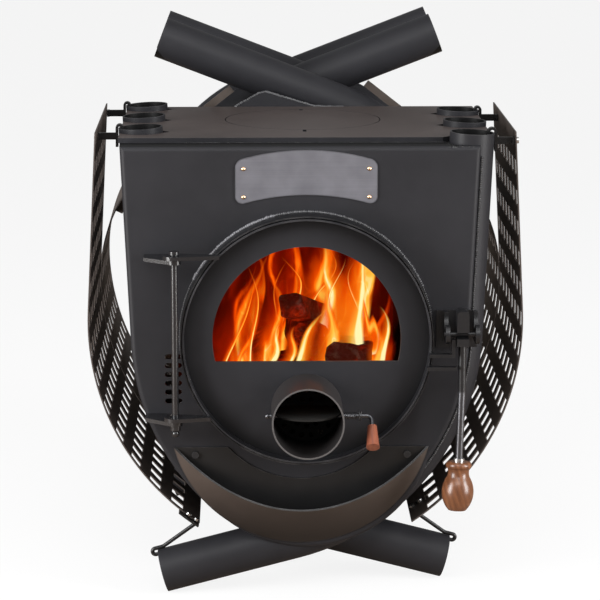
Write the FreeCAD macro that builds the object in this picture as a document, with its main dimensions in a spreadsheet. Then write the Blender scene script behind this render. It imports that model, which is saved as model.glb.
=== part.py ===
"""Hot air wood stove: ten bent tubes round a fire box, with door, air flap, latch, lid and guards.

Millimetres. X runs to the right, Y to the back and Z up. The stove stands on its tube feet at z = 0.
"""
import FreeCAD
import Part
import Sketcher
import math
import os
import re
from FreeCAD import Placement, Rotation, Vector

# Driving dimensions: alias, value, what it is
SIZES = [
    ("tube_od", 70, "outside diameter of an air tube"),
    ("tube_wall", 2.5, "wall of an air tube"),
    ("tube_gap", 0.9, "gap between neighbouring tubes"),
    ("weld_gap", 0.3, "gap that a weld bridges"),
    ("top_height", 738, "height of the cooking top"),
    ("top_plate_thickness", 8, "thickness of the cooking top"),
    ("outlet_half_span", 261, "tube outlet from the middle"),
    ("outlet_rise", 8, "tube outlet above the cooking top"),
    ("side_lean", 2.6, "outward lean of the tube sides in degrees"),
    ("lower_bend_radius", 353, "bend radius of the tubes under the fire"),
    ("leg_slope", 14.6, "slope of the tube feet in degrees"),
    ("long_leg_reach", 230, "long feet from the middle"),
    ("short_leg_reach", 95, "short feet from the middle"),
    ("upper_bend_radius", 285, "bend radius of the rear tubes at the top"),
    ("cross_slope", 21, "slope of the crossing runs in degrees"),
    ("cross_reach", 237.5, "ends of the crossing runs from the middle"),
    ("cross_rise", 23.6, "crossing above the cooking top"),
    ("strip_thickness", 5, "thickness of the wall strips"),
    ("floor_strip_start", 66, "lower edge of the wall strips from the middle"),
    ("roof_strip_end", 58, "upper edge of the roof strips from the middle"),
    ("front_plate_thickness", 6, "thickness of the front plate"),
    ("front_plate_left_edge", 30, "left edge of the front plate outside the tube line"),
    ("front_plate_right_edge", 12, "right edge of the front plate outside the tube line"),
    ("front_plate_bottom", 83, "lowest point of the front plate"),
    ("flange_thickness", 4, "bent edges of the front plate"),
    ("flange_bend_radius", 8, "outside radius of the bent edges"),
    ("top_flange_end", 220, "right end of the bent top edge"),
    ("left_flange_foot", 112, "lower end of the bent left edge from the middle"),
    ("slot_length", 27, "length of an air slot"),
    ("slot_height", 8.4, "height of an air slot"),
    ("slot_pitch", 14.3, "air slot to air slot"),
    ("slot_x", 209.5, "air slots left of the middle"),
    ("slot_below_door", 32, "highest air slot below the door's middle"),
    ("back_plate_thickness", 6, "thickness of the back plate"),
    ("flue_od", 150, "outside diameter of the flue collar"),
    ("flue_wall", 3, "wall of the flue collar"),
    ("flue_length", 75, "length of the flue collar"),
    ("flue_below_top", 138, "flue's middle below the cooking top"),
    ("baffle_depth", 300, "depth of the baffle plate"),
    ("baffle_width", 360, "width of the baffle plate"),
    ("baffle_thickness", 6, "thickness of the baffle plate"),
    ("baffle_below_flue", 100, "baffle below the flue's middle"),
    ("top_plate_inset", 2, "side of the cooking top inside the tubes' outside"),
    ("outlet_clearance", 1, "gap round a tube in the cooking top"),
    ("outlet_notch", 16, "side of the pointed notch beside an outlet"),
    ("lid_radius", 126.5, "radius of the lid"),
    ("lid_clearance", 1.6, "gap round the lid"),
    ("lid_lift_gap", 0.2, "lid above its ledge"),
    ("lid_notch_width", 6, "width of the lifting notches"),
    ("lid_notch_depth", 12, "depth of the lid's lifting notch"),
    ("top_notch_depth", 24, "depth of the lifting notch in the cooking top"),
    ("lid_from_front_edge", 219, "lid's middle behind the front edge of the cooking top"),
    ("ledge_width", 38, "width of the ledge under the lid"),
    ("ledge_overlap", 26, "ledge under the cooking top"),
    ("ledge_thickness", 4, "thickness of the ledge"),
    ("step_thickness", 5, "thickness of the step plates"),
    ("gable_peak", 64, "gable's peak left of the middle"),
    ("gable_rise", 27, "gable's peak above the cooking top"),
    ("gable_left", 112, "gable's left foot from the middle"),
    ("gable_right", 26, "gable's right foot from the middle"),
    ("door_below_top", 309.4, "door's middle below the cooking top"),
    ("frame_ring_radius", 198, "outside radius of the door frame ring"),
    ("frame_ring_wall", 2, "wall of the door frame ring"),
    ("frame_ring_depth", 43, "door frame ring from the front plate"),
    ("frame_base_thickness", 3, "base of the door frame ring"),
    ("seat_ring_width", 10, "width of the gasket seat"),
    ("door_opening_radius", 178, "radius of the door opening"),
    ("seat_clearance", 0.4, "gap between gasket and seat"),
    ("door_radius", 194.3, "outside radius of the door"),
    ("rim_wall", 2.5, "wall of the door rim"),
    ("rim_proud", 4, "door rim in front of the frame ring"),
    ("door_recess", 22, "door face behind the front of its rim"),
    ("door_plate_thickness", 5, "thickness of the door plate"),
    ("gasket_radius", 184, "middle radius of the rope gasket"),
    ("gasket_diameter", 9.4, "diameter of the rope gasket"),
    ("window_radius", 147.5, "radius of the window"),
    ("window_chord", 35, "window's lower edge below the door's middle"),
    ("glass_margin", 9, "glass beyond the window"),
    ("glass_thickness", 4, "thickness of the glass"),
    ("clip_foot", 13, "length of a glass clip beside the glass"),
    ("clip_overlap", 7, "glass clip over the glass"),
    ("clip_width", 16, "width of a glass clip"),
    ("clip_thickness", 2, "thickness of a glass clip"),
    ("clip_screw_diameter", 5, "diameter of a glass clip screw"),
    ("clip_screw_head", 3, "height of a glass clip screw's head"),
    ("inlet_below_door", 110.6, "air inlet below the door's middle"),
    ("inlet_od", 112, "outside diameter of the air inlet pipe"),
    ("inlet_wall", 2.5, "wall of the air inlet pipe"),
    ("inlet_length", 104, "air inlet pipe from the door face"),
    ("screen_margin", 4, "spark screen beyond the inlet's bore"),
    ("screen_thickness", 1.5, "thickness of the spark screen"),
    ("screen_hole", 9, "diameter of a spark screen hole"),
    ("shaft_from_door", 50, "flap shaft in front of the door face"),
    ("shaft_diameter", 7, "diameter of the flap shaft"),
    ("running_clearance", 0.08, "radial clearance of shafts and pins"),
    ("shaft_left_end", 6, "flap shaft beyond the pipe on the left"),
    ("shaft_ball_radius", 4.5, "ball at the flap shaft's left end"),
    ("shaft_bend_x", 100, "bend of the flap shaft from the middle"),
    ("shaft_bend_radius", 9, "bend radius of the flap shaft"),
    ("flap_clearance", 2.5, "gap round the flap"),
    ("flap_thickness", 2.5, "thickness of the flap"),
    ("spring_wire", 1.6, "wire of the flap spring"),
    ("spring_clearance", 0.9, "gap between spring and shaft"),
    ("spring_turns", 7, "turns of the flap spring"),
    ("spring_pitch", 2.7, "turn to turn of the flap spring"),
    ("washer_thickness", 2, "thickness of the flap washer"),
    ("washer_radius", 8.5, "outside radius of the flap washer"),
    ("cross_pin_diameter", 2.4, "diameter of the pin behind the flap washer"),
    ("cross_pin_length", 15, "length of the pin behind the flap washer"),
    ("handle_tilt", 47, "flap handle forward of straight down in degrees"),
    ("handle_start", 20, "flap handle from the shaft's middle"),
    ("handle_length", 38, "length of the flap handle"),
    ("handle_top_radius", 7.25, "flap handle's radius at the rod"),
    ("handle_end_radius", 10.3, "flap handle's radius at its end"),
    ("handle_bore_depth", 14, "rod inside the flap handle"),
    ("hinge_x", 205.5, "hinge pin left of the middle"),
    ("hinge_pin_diameter", 10.5, "diameter of the hinge pin"),
    ("hinge_upper", 134, "upper door lug above the door's middle"),
    ("hinge_lower", 122, "lower door lug below the door's middle"),
    ("lug_thickness", 6, "thickness of a hinge lug"),
    ("lug_width", 14, "width of a door lug at the rim"),
    ("door_lug_eye", 18, "radius of a door lug round the hinge pin"),
    ("frame_lug_eye", 11, "radius of a frame lug round the hinge pin"),
    ("lug_reach", 5, "door lug past the outside of the rim"),
    ("frame_lug_spread", 48, "far end of a frame lug's root left of the hinge pin"),
    ("frame_lug_root", 32, "length of a frame lug's root on the front plate"),
    ("frame_lug_end", 30, "far end of a frame lug in front of the front plate"),
    ("hinge_head_radius", 8, "radius of the hinge pin's head and nut"),
    ("hinge_head_height", 5, "height of the hinge pin's head"),
    ("hinge_nut_height", 8, "height of the hinge pin's nut"),
    ("hinge_ball_radius", 6, "ball at the hinge pin's lower end"),
    ("hinge_washer_thickness", 1.3, "thickness of the hinge washers"),
    ("hinge_washer_play", 0.2, "play above a hinge washer"),
    ("hinge_washer_radius", 10, "radius of the hinge washers"),
    ("latch_height", 441, "height of the latch pin"),
    ("latch_x", 242, "latch lever right of the middle"),
    ("latch_pin_forward", 48, "latch pin in front of the front plate"),
    ("latch_pin_diameter", 8, "diameter of the latch pin"),
    ("cheek_gap", 40, "clear width between the latch cheeks"),
    ("cheek_thickness", 6.5, "thickness of a latch cheek"),
    ("cheek_radius", 15, "rounded front of a latch cheek"),
    ("cheek_top", 29, "latch cheek above the pin"),
    ("latch_base_thickness", 4, "base plate of the latch"),
    ("latch_base_left", 11, "latch base left of the left cheek"),
    ("latch_base_drop", 30, "latch base below the pin"),
    ("lever_width", 19, "width of the lever's head"),
    ("lever_depth", 30, "depth of the lever's head"),
    ("lever_top", 41, "lever's cam above the pin"),
    ("lever_bottom", 17, "lever's head below the pin"),
    ("lever_notch", 10, "height of the front notch in the lever's head"),
    ("rod_diameter", 12, "diameter of the lever's rod"),
    ("rod_knee", 92, "knee of the rod below the pin"),
    ("rod_end", 202, "end of the rod below the pin"),
    ("rod_forward", 9, "end of the rod in front of the pin"),
    ("rod_aside", 4, "end of the rod left of the lever"),
    ("rod_knee_radius", 70, "bend radius of the rod's knee"),
    ("ferrule_radius", 8.5, "radius of the ferrule"),
    ("ferrule_height", 5, "height of the ferrule"),
    ("knob_height", 77, "height of the wooden knob"),
    ("knob_collar_radius", 20.5, "radius of the knob's collar"),
    ("knob_neck_radius", 16.5, "radius of the knob's neck"),
    ("knob_radius", 25, "largest radius of the knob"),
    ("knob_foot_radius", 14, "radius of the knob's flat end"),
    ("keeper_thickness", 5, "thickness of the door keeper"),
    ("keeper_width", 12, "width of the door keeper"),
    ("keeper_below_pin", 35, "keeper's arm below the latch pin"),
    ("keeper_clearance", 3, "keeper's link from the cheek and below the pin"),
    ("second_arm_drop", 20.5, "keeper's lower arm below its upper arm"),
    ("second_arm_length", 46, "keeper's lower arm from the door rim"),
    ("name_plate_half_width", 111, "name plate from its middle to its side"),
    ("name_plate_top", 98, "name plate's top above the frame ring"),
    ("name_plate_height", 71, "name plate's height at its middle"),
    ("name_plate_drop", 17, "name plate's ends below its middle"),
    ("name_plate_corner", 14, "corner radius of the name plate"),
    ("name_plate_thickness", 2, "thickness of the name plate"),
    ("rivet_inset", 13, "rivets from the name plate's sides"),
    ("rivet_radius", 3.6, "radius of a rivet's head"),
    ("rivet_height", 2.4, "height of a rivet's head"),
    ("lip_aside", 8, "ash lip left of the middle"),
    ("lip_radius", 209, "ash lip's radius at the front plate"),
    ("lip_bottom", 93, "lowest point of the ash lip"),
    ("lip_tip_height", 250, "height of the ash lip's tips"),
    ("lip_forward", 60, "ash lip from its back plate"),
    ("lip_rim_height", 161, "lowest point of the ash lip's rim"),
    ("lip_sheet", 2.5, "sheet of the ash lip"),
    ("lip_plate", 3, "back plate of the ash lip"),
    ("lip_door_gap", 32, "ash lip's back plate below the frame ring"),
    ("lip_cut_radius", 157, "radius of the ash lip's cut-out below the door"),
    ("lip_bolt_x", 168, "ash lip's bolts from its middle"),
    ("lip_bolt_drop", 12, "ash lip's bolts below the tips"),
    ("bolt_radius", 5.5, "radius of a bolt head"),
    ("bolt_height", 4.5, "height of a bolt head"),
    ("guard_radius", 397, "bend radius of the guards"),
    ("guard_stand_off", 68.5, "upper edge of a front guard from the middle of the tube outlets"),
    ("guard_top_rise", 8, "upper edge of a front guard above the cooking top"),
    ("guard_lean", 3, "inward lean of the front guards in degrees"),
    ("guard_straight", 285, "straight height of the front guards"),
    ("guard_arc", 58.8, "bend of the guards in degrees"),
    ("guard_sheet", 2, "sheet of the guards"),
    ("front_guard_depth", 372, "depth of the front guards"),
    ("guard_parting", 4, "gap between front and rear guards"),
    ("rear_guard_radius", 275, "upper bend radius of the rear guards"),
    ("rear_guard_turn", 32, "upper bend of the rear guards in degrees"),
    ("strap_turn", 52, "bend of the rear straps in degrees"),
    ("strap_straight", 50, "straight start of a rear strap above the rear guard"),
    ("strap_overlap", 8, "strap on the rear guard in degrees"),
    ("strap_width", 13, "width of the rear straps"),
    ("strap_thickness", 3, "thickness of the rear straps"),
    ("perforation_length", 25, "guard slot along the bend"),
    ("perforation_width", 24, "guard slot along the depth"),
    ("perforation_row", 49, "guard slot row to row"),
    ("perforation_column", 47, "guard slot column to column"),
    ("perforation_margin", 46, "first guard slot row from the ends"),
    ("bracket_height", 11, "height of a guard bracket's arm"),
    ("bracket_thickness", 4, "thickness of the guard brackets"),
    ("bracket_width", 13, "width of a guard bracket's clip"),
    ("bracket_below_rim", 9, "guard bracket's arm below the tube rim"),
    ("clip_leg", 30, "outer leg of a guard clip below the tube rim"),
    ("clip_inner_leg", 14, "inner leg of a guard clip below the tube rim"),
    ("hook_clearance", 0.5, "gap between clips or hooks and a tube wall"),
    ("guard_bolt_radius", 5, "head radius of the guard bolts"),
    ("guard_bolt_height", 3.5, "head height of the guard bolts"),
    ("hook_rod_diameter", 6.4, "diameter of the lower hook rods"),
    ("hook_curl", 5, "curl radius of the lower hook rods"),
    ("hook_tab_turn", 5.5, "hook rod's tab along the guard in degrees"),
    ("hook_tab_thickness", 3, "thickness of a hook rod's tab"),
    ("hook_tab_width", 26, "width of a hook rod's tab"),
]

# Worked-out places: alias and formula
PLACES = [
    ("tube_pitch", "tube_od + tube_gap"),
    ("front_reach", "tube_od / 2 + weld_gap + front_plate_thickness + frame_ring_depth + rim_proud"
                    " - door_recess + inlet_length"),
    ("rear_reach", "9 * tube_pitch + tube_od / 2 + weld_gap + back_plate_thickness + flue_length"),
    ("first_tube_y", "(front_reach - rear_reach) / 2"),
    ("plate_back_y", "first_tube_y - tube_od / 2 - weld_gap"),
    ("plate_front_y", "plate_back_y - front_plate_thickness"),
    ("frame_front_y", "plate_front_y - frame_ring_depth"),
    ("rim_front_y", "frame_front_y - rim_proud"),
    ("door_face_y", "rim_front_y + door_recess"),
    ("door_back_y", "door_face_y + door_plate_thickness"),
    ("seat_front_y", "door_back_y + gasket_diameter + seat_clearance"),
    ("inlet_front_y", "door_face_y - inlet_length"),
    ("shaft_y", "door_face_y - shaft_from_door"),
    ("hinge_y", "rim_front_y - lug_width / 2"),
    ("lug_gap", "hinge_washer_thickness + hinge_washer_play"),
    ("guard_top_x", "outlet_half_span + guard_stand_off"),
    ("back_plate_y", "first_tube_y + 9 * tube_pitch + tube_od / 2 + weld_gap"),
    ("flue_start_y", "back_plate_y + back_plate_thickness"),
    ("step_y", "first_tube_y + 5 * tube_pitch + tube_od / 2 - step_thickness"),
    ("lid_y", "first_tube_y + lid_from_front_edge"),
    ("top_plate_half_width", "outlet_half_span + tube_od / 2 - top_plate_inset"),
    ("flue_height", "top_height - flue_below_top"),
    ("top_under_z", "top_height - top_plate_thickness"),
    ("door_z", "top_height - door_below_top"),
    ("inlet_z", "door_z - inlet_below_door"),
    ("inlet_bore_radius", "inlet_od / 2 - inlet_wall"),
    ("latch_pin_y", "plate_front_y - latch_pin_forward"),
    ("lip_front_y", "plate_front_y - lip_plate"),
    ("lip_z", "lip_bottom + lip_radius"),
    ("cheek_left_x", "latch_x - cheek_gap / 2 - cheek_thickness"),
    ("cheek_right_x", "latch_x + cheek_gap / 2"),
    ("rod_x", "latch_x - rod_aside"),
    ("rod_y", "latch_pin_y - rod_forward"),
    ("rod_end_z", "latch_height - rod_end"),
    ("spring_start_x", "inlet_od / 2 + spring_wire"),
    ("washer_x", "spring_start_x + spring_turns * spring_pitch + 2 * spring_wire"),
]

WORD = re.compile(r"[a-z_]+[a-z0-9_]*")
TURN = {
    "x": Rotation(Vector(0, 1, 0), 90),
    "y": Rotation(Vector(1, 0, 0), -90),
    "z": Rotation(),
}
MIDDLE = Vector(0, 0, 0)
ACROSS = Vector(1, 0, 0)

doc = FreeCAD.newDocument("hot_air_stove")
sheet_of = {}


def fill_sheet(name, rows):
    """Write aliases and values or formulas into a new sheet."""
    sheet = doc.addObject("Spreadsheet::Sheet", name)
    for number, row in enumerate(rows, start=1):
        alias = row[0]
        value = row[1]
        sheet_of[alias] = name
        sheet.set("A%d" % number, alias)
        sheet.set("B%d" % number, "=" + expr(value) if isinstance(value, str) else str(value))
        sheet.setAlias("B%d" % number, alias)
    return sheet


def expr(text):
    """Put the sheet's name before each alias in an expression."""
    return WORD.sub(lambda word: dotted(word.group()), str(text))


def dotted(word):
    """One word of an expression, with its sheet where it is an alias."""
    return "%s.%s" % (sheet_of[word], word) if word in sheet_of else word


sizes = fill_sheet("Sizes", SIZES)
places = fill_sheet("Places", PLACES)
doc.recompute()


def val(alias):
    """The number that a sheet holds under an alias."""
    return float(doc.getObject(sheet_of[alias]).get(alias))


# Building blocks

nodes = []


def node(obj, label):
    """Name a finished sub-part."""
    obj.Label = label
    nodes.append(obj)
    return obj


def put(obj, at, rotation):
    """Turn an object and bind its place to expressions."""
    obj.Placement = Placement(Vector(), rotation)
    for axis, place in zip("xyz", at):
        obj.setExpression("Placement.Base." + axis, expr(place))
    return obj


def cylinder(name, radius, height, at, along):
    obj = doc.addObject("Part::Cylinder", name)
    obj.setExpression("Radius", expr(radius))
    obj.setExpression("Height", expr(height))
    return put(obj, at, TURN[along])


def cone(name, radius_start, radius_end, height, at, along):
    obj = doc.addObject("Part::Cone", name)
    obj.setExpression("Radius1", expr(radius_start))
    obj.setExpression("Radius2", expr(radius_end))
    obj.setExpression("Height", expr(height))
    return put(obj, at, TURN[along])


def sphere(name, radius, at):
    obj = doc.addObject("Part::Sphere", name)
    obj.setExpression("Radius", expr(radius))
    return put(obj, at, Rotation())


def box(name, size, at, rotation=Rotation()):
    obj = doc.addObject("Part::Box", name)
    for side, length in zip(("Length", "Width", "Height"), size):
        obj.setExpression(side, expr(length))
    return put(obj, at, rotation)


def fuse(name, *shapes):
    obj = doc.addObject("Part::MultiFuse", name)
    obj.Shapes = list(shapes)
    return obj


def group(name, *shapes):
    obj = doc.addObject("Part::Compound", name)
    obj.Links = list(shapes)
    return obj


def common(name, *shapes):
    obj = doc.addObject("Part::MultiCommon", name)
    obj.Shapes = list(shapes)
    return obj


def cut(name, base, *tools):
    obj = doc.addObject("Part::Cut", name)
    obj.Base = base
    obj.Tool = tools[0] if len(tools) == 1 else group(name + "_tools", *tools)
    return obj


def feature(name, shape):
    obj = doc.addObject("Part::Feature", name)
    obj.Shape = shape
    return obj


def ring(name, outside, inside, start_y, depth, x, z):
    """A ring about a line along Y."""
    outer = cylinder(name + "_outside", outside, depth, (x, start_y, z), "y")
    inner = cylinder(name + "_inside", inside, "%s + 2" % depth, (x, "%s - 1" % start_y, z), "y")
    return cut(name, outer, inner)


def hollow(name, outside, inside, start_z, height, x, y):
    """A ring about a line along Z."""
    outer = cylinder(name + "_outside", outside, height, (x, y, start_z), "z")
    inner = cylinder(name + "_inside", inside, "%s + 2" % height, (x, y, "%s - 1" % start_z), "z")
    return cut(name, outer, inner)


def sweep(name, radius, spine_edges):
    """A round bar along a path of tangent lines and arcs."""
    spine = feature(name + "_path", Part.Wire(spine_edges))
    start = spine_edges[0].valueAt(spine_edges[0].FirstParameter)
    heading = spine_edges[0].tangentAt(spine_edges[0].FirstParameter)
    section = doc.addObject("Part::Circle", name + "_section")
    section.setExpression("Radius", expr(radius))
    section.Placement = Placement(start, Rotation(Vector(0, 0, 1), heading))
    obj = doc.addObject("Part::Sweep", name)
    obj.Sections = [section]
    obj.Spine = (spine, ["Edge%d" % (number + 1) for number in range(len(spine_edges))])
    obj.Solid = True
    obj.Frenet = False
    return obj


def mirrored(shape, side):
    """A shape of the right side, or its mirror image on the left."""
    return shape if side > 0 else shape.mirror(MIDDLE, ACROSS)


def extruded(face, start_y, depth):
    """A face of the XZ plane, thickened along Y."""
    face = face.copy()
    face.translate(Vector(0, start_y, 0))
    return face.extrude(Vector(0, depth, 0))


def polar(centre, radius, degrees):
    """A point of the XZ plane round a centre."""
    angle = math.radians(degrees)
    return Vector(centre.x + radius * math.cos(angle), 0, centre.z + radius * math.sin(angle))


class Route:
    """A path of tangent lines and left turns in the XZ plane, which can be offset to its right."""

    def __init__(self, start, heading):
        self.point = start
        self.heading = heading
        self.pieces = []

    def along(self, degrees):
        return polar(Vector(), 1, degrees)

    def line(self, length):
        end = self.point + self.along(self.heading) * length
        self.pieces.append(("line", self.point, self.heading, length))
        self.point = end
        return self

    def turn(self, radius, degrees):
        centre = self.point + self.along(self.heading + 90) * radius
        self.pieces.append(("turn", centre, self.heading - 90, radius, degrees))
        self.point = polar(centre, radius, self.heading - 90 + degrees)
        self.heading = self.heading + degrees
        return self

    def edges(self, offset=0.0):
        made = []
        for piece in self.pieces:
            if piece[0] == "line":
                aside = self.along(piece[2] - 90) * offset
                start = piece[1] + aside
                made.append(Part.LineSegment(start, start + self.along(piece[2]) * piece[3]).toShape())
            else:
                stops = [polar(piece[1], piece[3] + offset, piece[2] + piece[4] * part)
                         for part in (0, 0.5, 1)]
                made.append(Part.Arc(*stops).toShape())
        return made

    def band(self, inside, outside):
        """The face between two offsets."""
        inner = self.edges(inside)
        outer = self.edges(outside)
        first = Part.LineSegment(inner[0].firstVertex().Point, outer[0].firstVertex().Point).toShape()
        last = Part.LineSegment(inner[-1].lastVertex().Point, outer[-1].lastVertex().Point).toShape()
        return Part.Face(Part.Wire(Part.__sortEdges__(inner + outer + [first, last])))

    def length(self):
        return sum(p[3] if p[0] == "line" else math.radians(p[4]) * p[3] for p in self.pieces)

    def at(self, distance):
        """The point and heading at a distance from the start."""
        for piece in self.pieces:
            if piece[0] == "line":
                span = piece[3]
                if distance <= span:
                    return piece[1] + self.along(piece[2]) * distance, piece[2]
            else:
                span = math.radians(piece[4]) * piece[3]
                if distance <= span:
                    angle = piece[2] + math.degrees(distance / piece[3])
                    return polar(piece[1], piece[3], angle), angle + 90
            distance = distance - span
        return self.point, self.heading


def runs_to_meet(start, heading, radius, end_heading, end):
    """Lengths of the two straight runs either side of a left turn between two known ends."""
    first = polar(Vector(), 1, heading)
    last = polar(Vector(), 1, end_heading)
    turn = polar(Vector(), radius, end_heading - 90) - polar(Vector(), radius, heading - 90)
    rest = end - start - turn
    area = first.x * last.z - first.z * last.x
    before = (rest.x * last.z - rest.z * last.x) / area
    after = (first.x * rest.z - first.z * rest.x) / area
    return before, after


def rounded_path(points, radii):
    """Lines between points, with each inner corner rounded by its own radius."""
    edges = []
    start = points[0]
    for number, radius in enumerate(radii, start=1):
        corner = points[number]
        back = (points[number - 1] - corner).normalize()
        ahead = (points[number + 1] - corner).normalize()
        half = back.getAngle(ahead) / 2
        reach = radius / math.tan(half)
        middle = (back + ahead).normalize()
        centre = corner + middle * (radius / math.sin(half))
        edges.append(Part.LineSegment(start, corner + back * reach).toShape())
        arc = Part.Arc(corner + back * reach, centre - middle * radius, corner + ahead * reach)
        edges.append(arc.toShape())
        start = corner + ahead * reach
    edges.append(Part.LineSegment(start, points[-1]).toShape())
    return edges


# Tube lines

side_heading = 90 - val("side_lean")
tube_radius = val("tube_od") / 2
foot_z = tube_radius * math.cos(math.radians(val("leg_slope")))
foot = Vector(-val("long_leg_reach"), 0, foot_z)
outlet = Vector(val("outlet_half_span"), 0, val("top_height") + val("outlet_rise"))
cross_turn = 180 - val("cross_slope")
cross_lift = val("cross_reach") * math.tan(math.radians(val("cross_slope")))
cross_end = Vector(-val("cross_reach"), 0, val("top_height") + val("cross_rise") + cross_lift)
leg_run, side_run = runs_to_meet(foot, val("leg_slope"), val("lower_bend_radius"), side_heading, outlet)
bend_start = foot + polar(Vector(), leg_run, val("leg_slope"))
bend_centre = bend_start + polar(Vector(), val("lower_bend_radius"), val("leg_slope") + 90)
side_start = polar(bend_centre, val("lower_bend_radius"), -val("side_lean"))
rear_side_run, cross_run = runs_to_meet(side_start, side_heading, val("upper_bend_radius"),
                                        cross_turn, cross_end)
upper_centre = (side_start + polar(Vector(), rear_side_run, side_heading)
                + polar(Vector(), val("upper_bend_radius"), side_heading + 90))
leg_per_reach = 1 / math.cos(math.radians(val("leg_slope")))


def tube_y(number):
    """The plane of a tube, counted from the front through both sides."""
    return val("first_tube_y") + number * val("tube_pitch")


def start_low(angle, radius):
    """A route that starts on the lower bend of the right tubes."""
    return Route(polar(bend_centre, radius, angle), angle + 90)


def tube_route(long_leg, crossing):
    short_by = (val("long_leg_reach") - val("short_leg_reach")) * leg_per_reach
    start = foot if long_leg else foot + polar(Vector(), short_by, val("leg_slope"))
    route = Route(start, val("leg_slope"))
    route.line(leg_run if long_leg else leg_run - short_by)
    route.turn(val("lower_bend_radius"), side_heading - val("leg_slope"))
    if not crossing:
        return route.line(side_run)
    route.line(rear_side_run)
    route.turn(val("upper_bend_radius"), cross_turn - side_heading)
    return route.line(cross_run)


def make_tubes():
    for number in range(10):
        side = 1 if number % 2 == 0 else -1
        place = number // 2 + 1
        label = "tube_%s_%d" % ("right" if side > 0 else "left", place)
        route = tube_route(place in (1, 5), place > 3)
        edges = []
        for edge in route.edges():
            edge = mirrored(edge, side)
            edge.translate(Vector(0, tube_y(number), 0))
            edges.append(edge)
        outside = sweep(label + "_outside", "tube_od / 2", edges)
        inside = sweep(label + "_inside", "tube_od / 2 - tube_wall", edges)
        node(cut(label, outside, inside), label)


# Fire box plates

def strip_route(roofed):
    """The wall between two tubes of one side, from the floor up to the top plate or over to the crossing."""
    radius = val("lower_bend_radius")
    angle = -math.degrees(math.acos((val("floor_strip_start") - bend_centre.x) / radius))
    route = start_low(angle, radius)
    route.turn(radius, -val("side_lean") - angle)
    if not roofed:
        height = val("top_under_z") - val("weld_gap") - route.point.z
        return route.line(height / math.cos(math.radians(val("side_lean"))))
    route.line(rear_side_run)
    route.turn(val("upper_bend_radius"), cross_turn - side_heading)
    level_run = route.point.x - val("roof_strip_end")
    return route.line(level_run / math.cos(math.radians(val("cross_slope"))))


def make_wall_strips():
    half = val("strip_thickness") / 2
    for side, label in ((1, "right_wall_strips"), (-1, "left_wall_strips")):
        strips = []
        first = 0 if side > 0 else 1
        for place in range(4):
            number = first + 2 * place
            start = tube_y(number) + tube_radius + val("weld_gap")
            end = tube_y(number + 2) - tube_radius - val("weld_gap")
            roofed = number > 4
            face = mirrored(strip_route(roofed).band(-half, half), side)
            strips.append(feature("%s_%d" % (label, place + 1), extruded(face, start, end - start)))
        if side > 0:
            start = tube_y(8) + tube_radius + val("weld_gap")
            depth = val("back_plate_y") - start
            face = strip_route(True).band(-half, half)
            strips.append(feature(label + "_5", extruded(face, start, depth)))
        node(group(label, *strips), label)


def plate_outline(left, right, top, bottom):
    """Closed outline of the front plate: leaning sides, tube bends and a round bottom."""
    radius = val("lower_bend_radius")
    left_radius = radius + left
    low = left_radius - bottom_gap(left_radius, bottom)
    bottom_centre = Vector(0, 0, bottom + low)
    left_centre = Vector(-bend_centre.x, 0, bend_centre.z)
    slant = math.degrees(math.atan2(bottom_centre.z - left_centre.z, bottom_centre.x - left_centre.x))
    meet_left = polar(bottom_centre, low, slant)
    meet_right = circles_meet(bottom_centre, low, bend_centre, radius + right)
    left_side = polar(left_centre, left_radius, 180 + val("side_lean"))
    right_side = polar(bend_centre, radius + right, -val("side_lean"))
    lean = math.tan(math.radians(val("side_lean")))
    top_left = Vector(left_side.x - (top - left_side.z) * lean, 0, top)
    top_right = Vector(right_side.x + (top - right_side.z) * lean, 0, top)
    left_middle = polar(left_centre, left_radius, (180 + val("side_lean") + 360 + slant) / 2)
    right_angle = math.degrees(math.atan2(meet_right.z - bend_centre.z, meet_right.x - bend_centre.x))
    right_middle = polar(bend_centre, radius + right, (right_angle - val("side_lean")) / 2)
    return [
        Part.LineSegment(top_right, top_left).toShape(),
        Part.LineSegment(top_left, left_side).toShape(),
        Part.Arc(left_side, left_middle, meet_left).toShape(),
        Part.Arc(meet_left, Vector(0, 0, bottom), meet_right).toShape(),
        Part.Arc(meet_right, right_middle, right_side).toShape(),
        Part.LineSegment(right_side, top_right).toShape(),
    ]


def bottom_gap(side_radius, bottom):
    """Side radius less the radius of the bottom arc that both side arcs run into smoothly."""
    rise = side_radius - (bend_centre.z - bottom)
    return (bend_centre.x ** 2 + rise ** 2) / (2 * rise)


def circles_meet(centre_a, radius_a, centre_b, radius_b):
    """The lower right point where two circles of the XZ plane cross."""
    line = centre_b - centre_a
    span = line.Length
    along = (radius_a ** 2 - radius_b ** 2 + span ** 2) / (2 * span)
    aside = math.sqrt(radius_a ** 2 - along ** 2)
    unit = line.normalize()
    square = Vector(unit.z, 0, -unit.x)
    options = [centre_a + unit * along + square * aside, centre_a + unit * along - square * aside]
    return max(options, key=lambda point: point.x)


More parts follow.
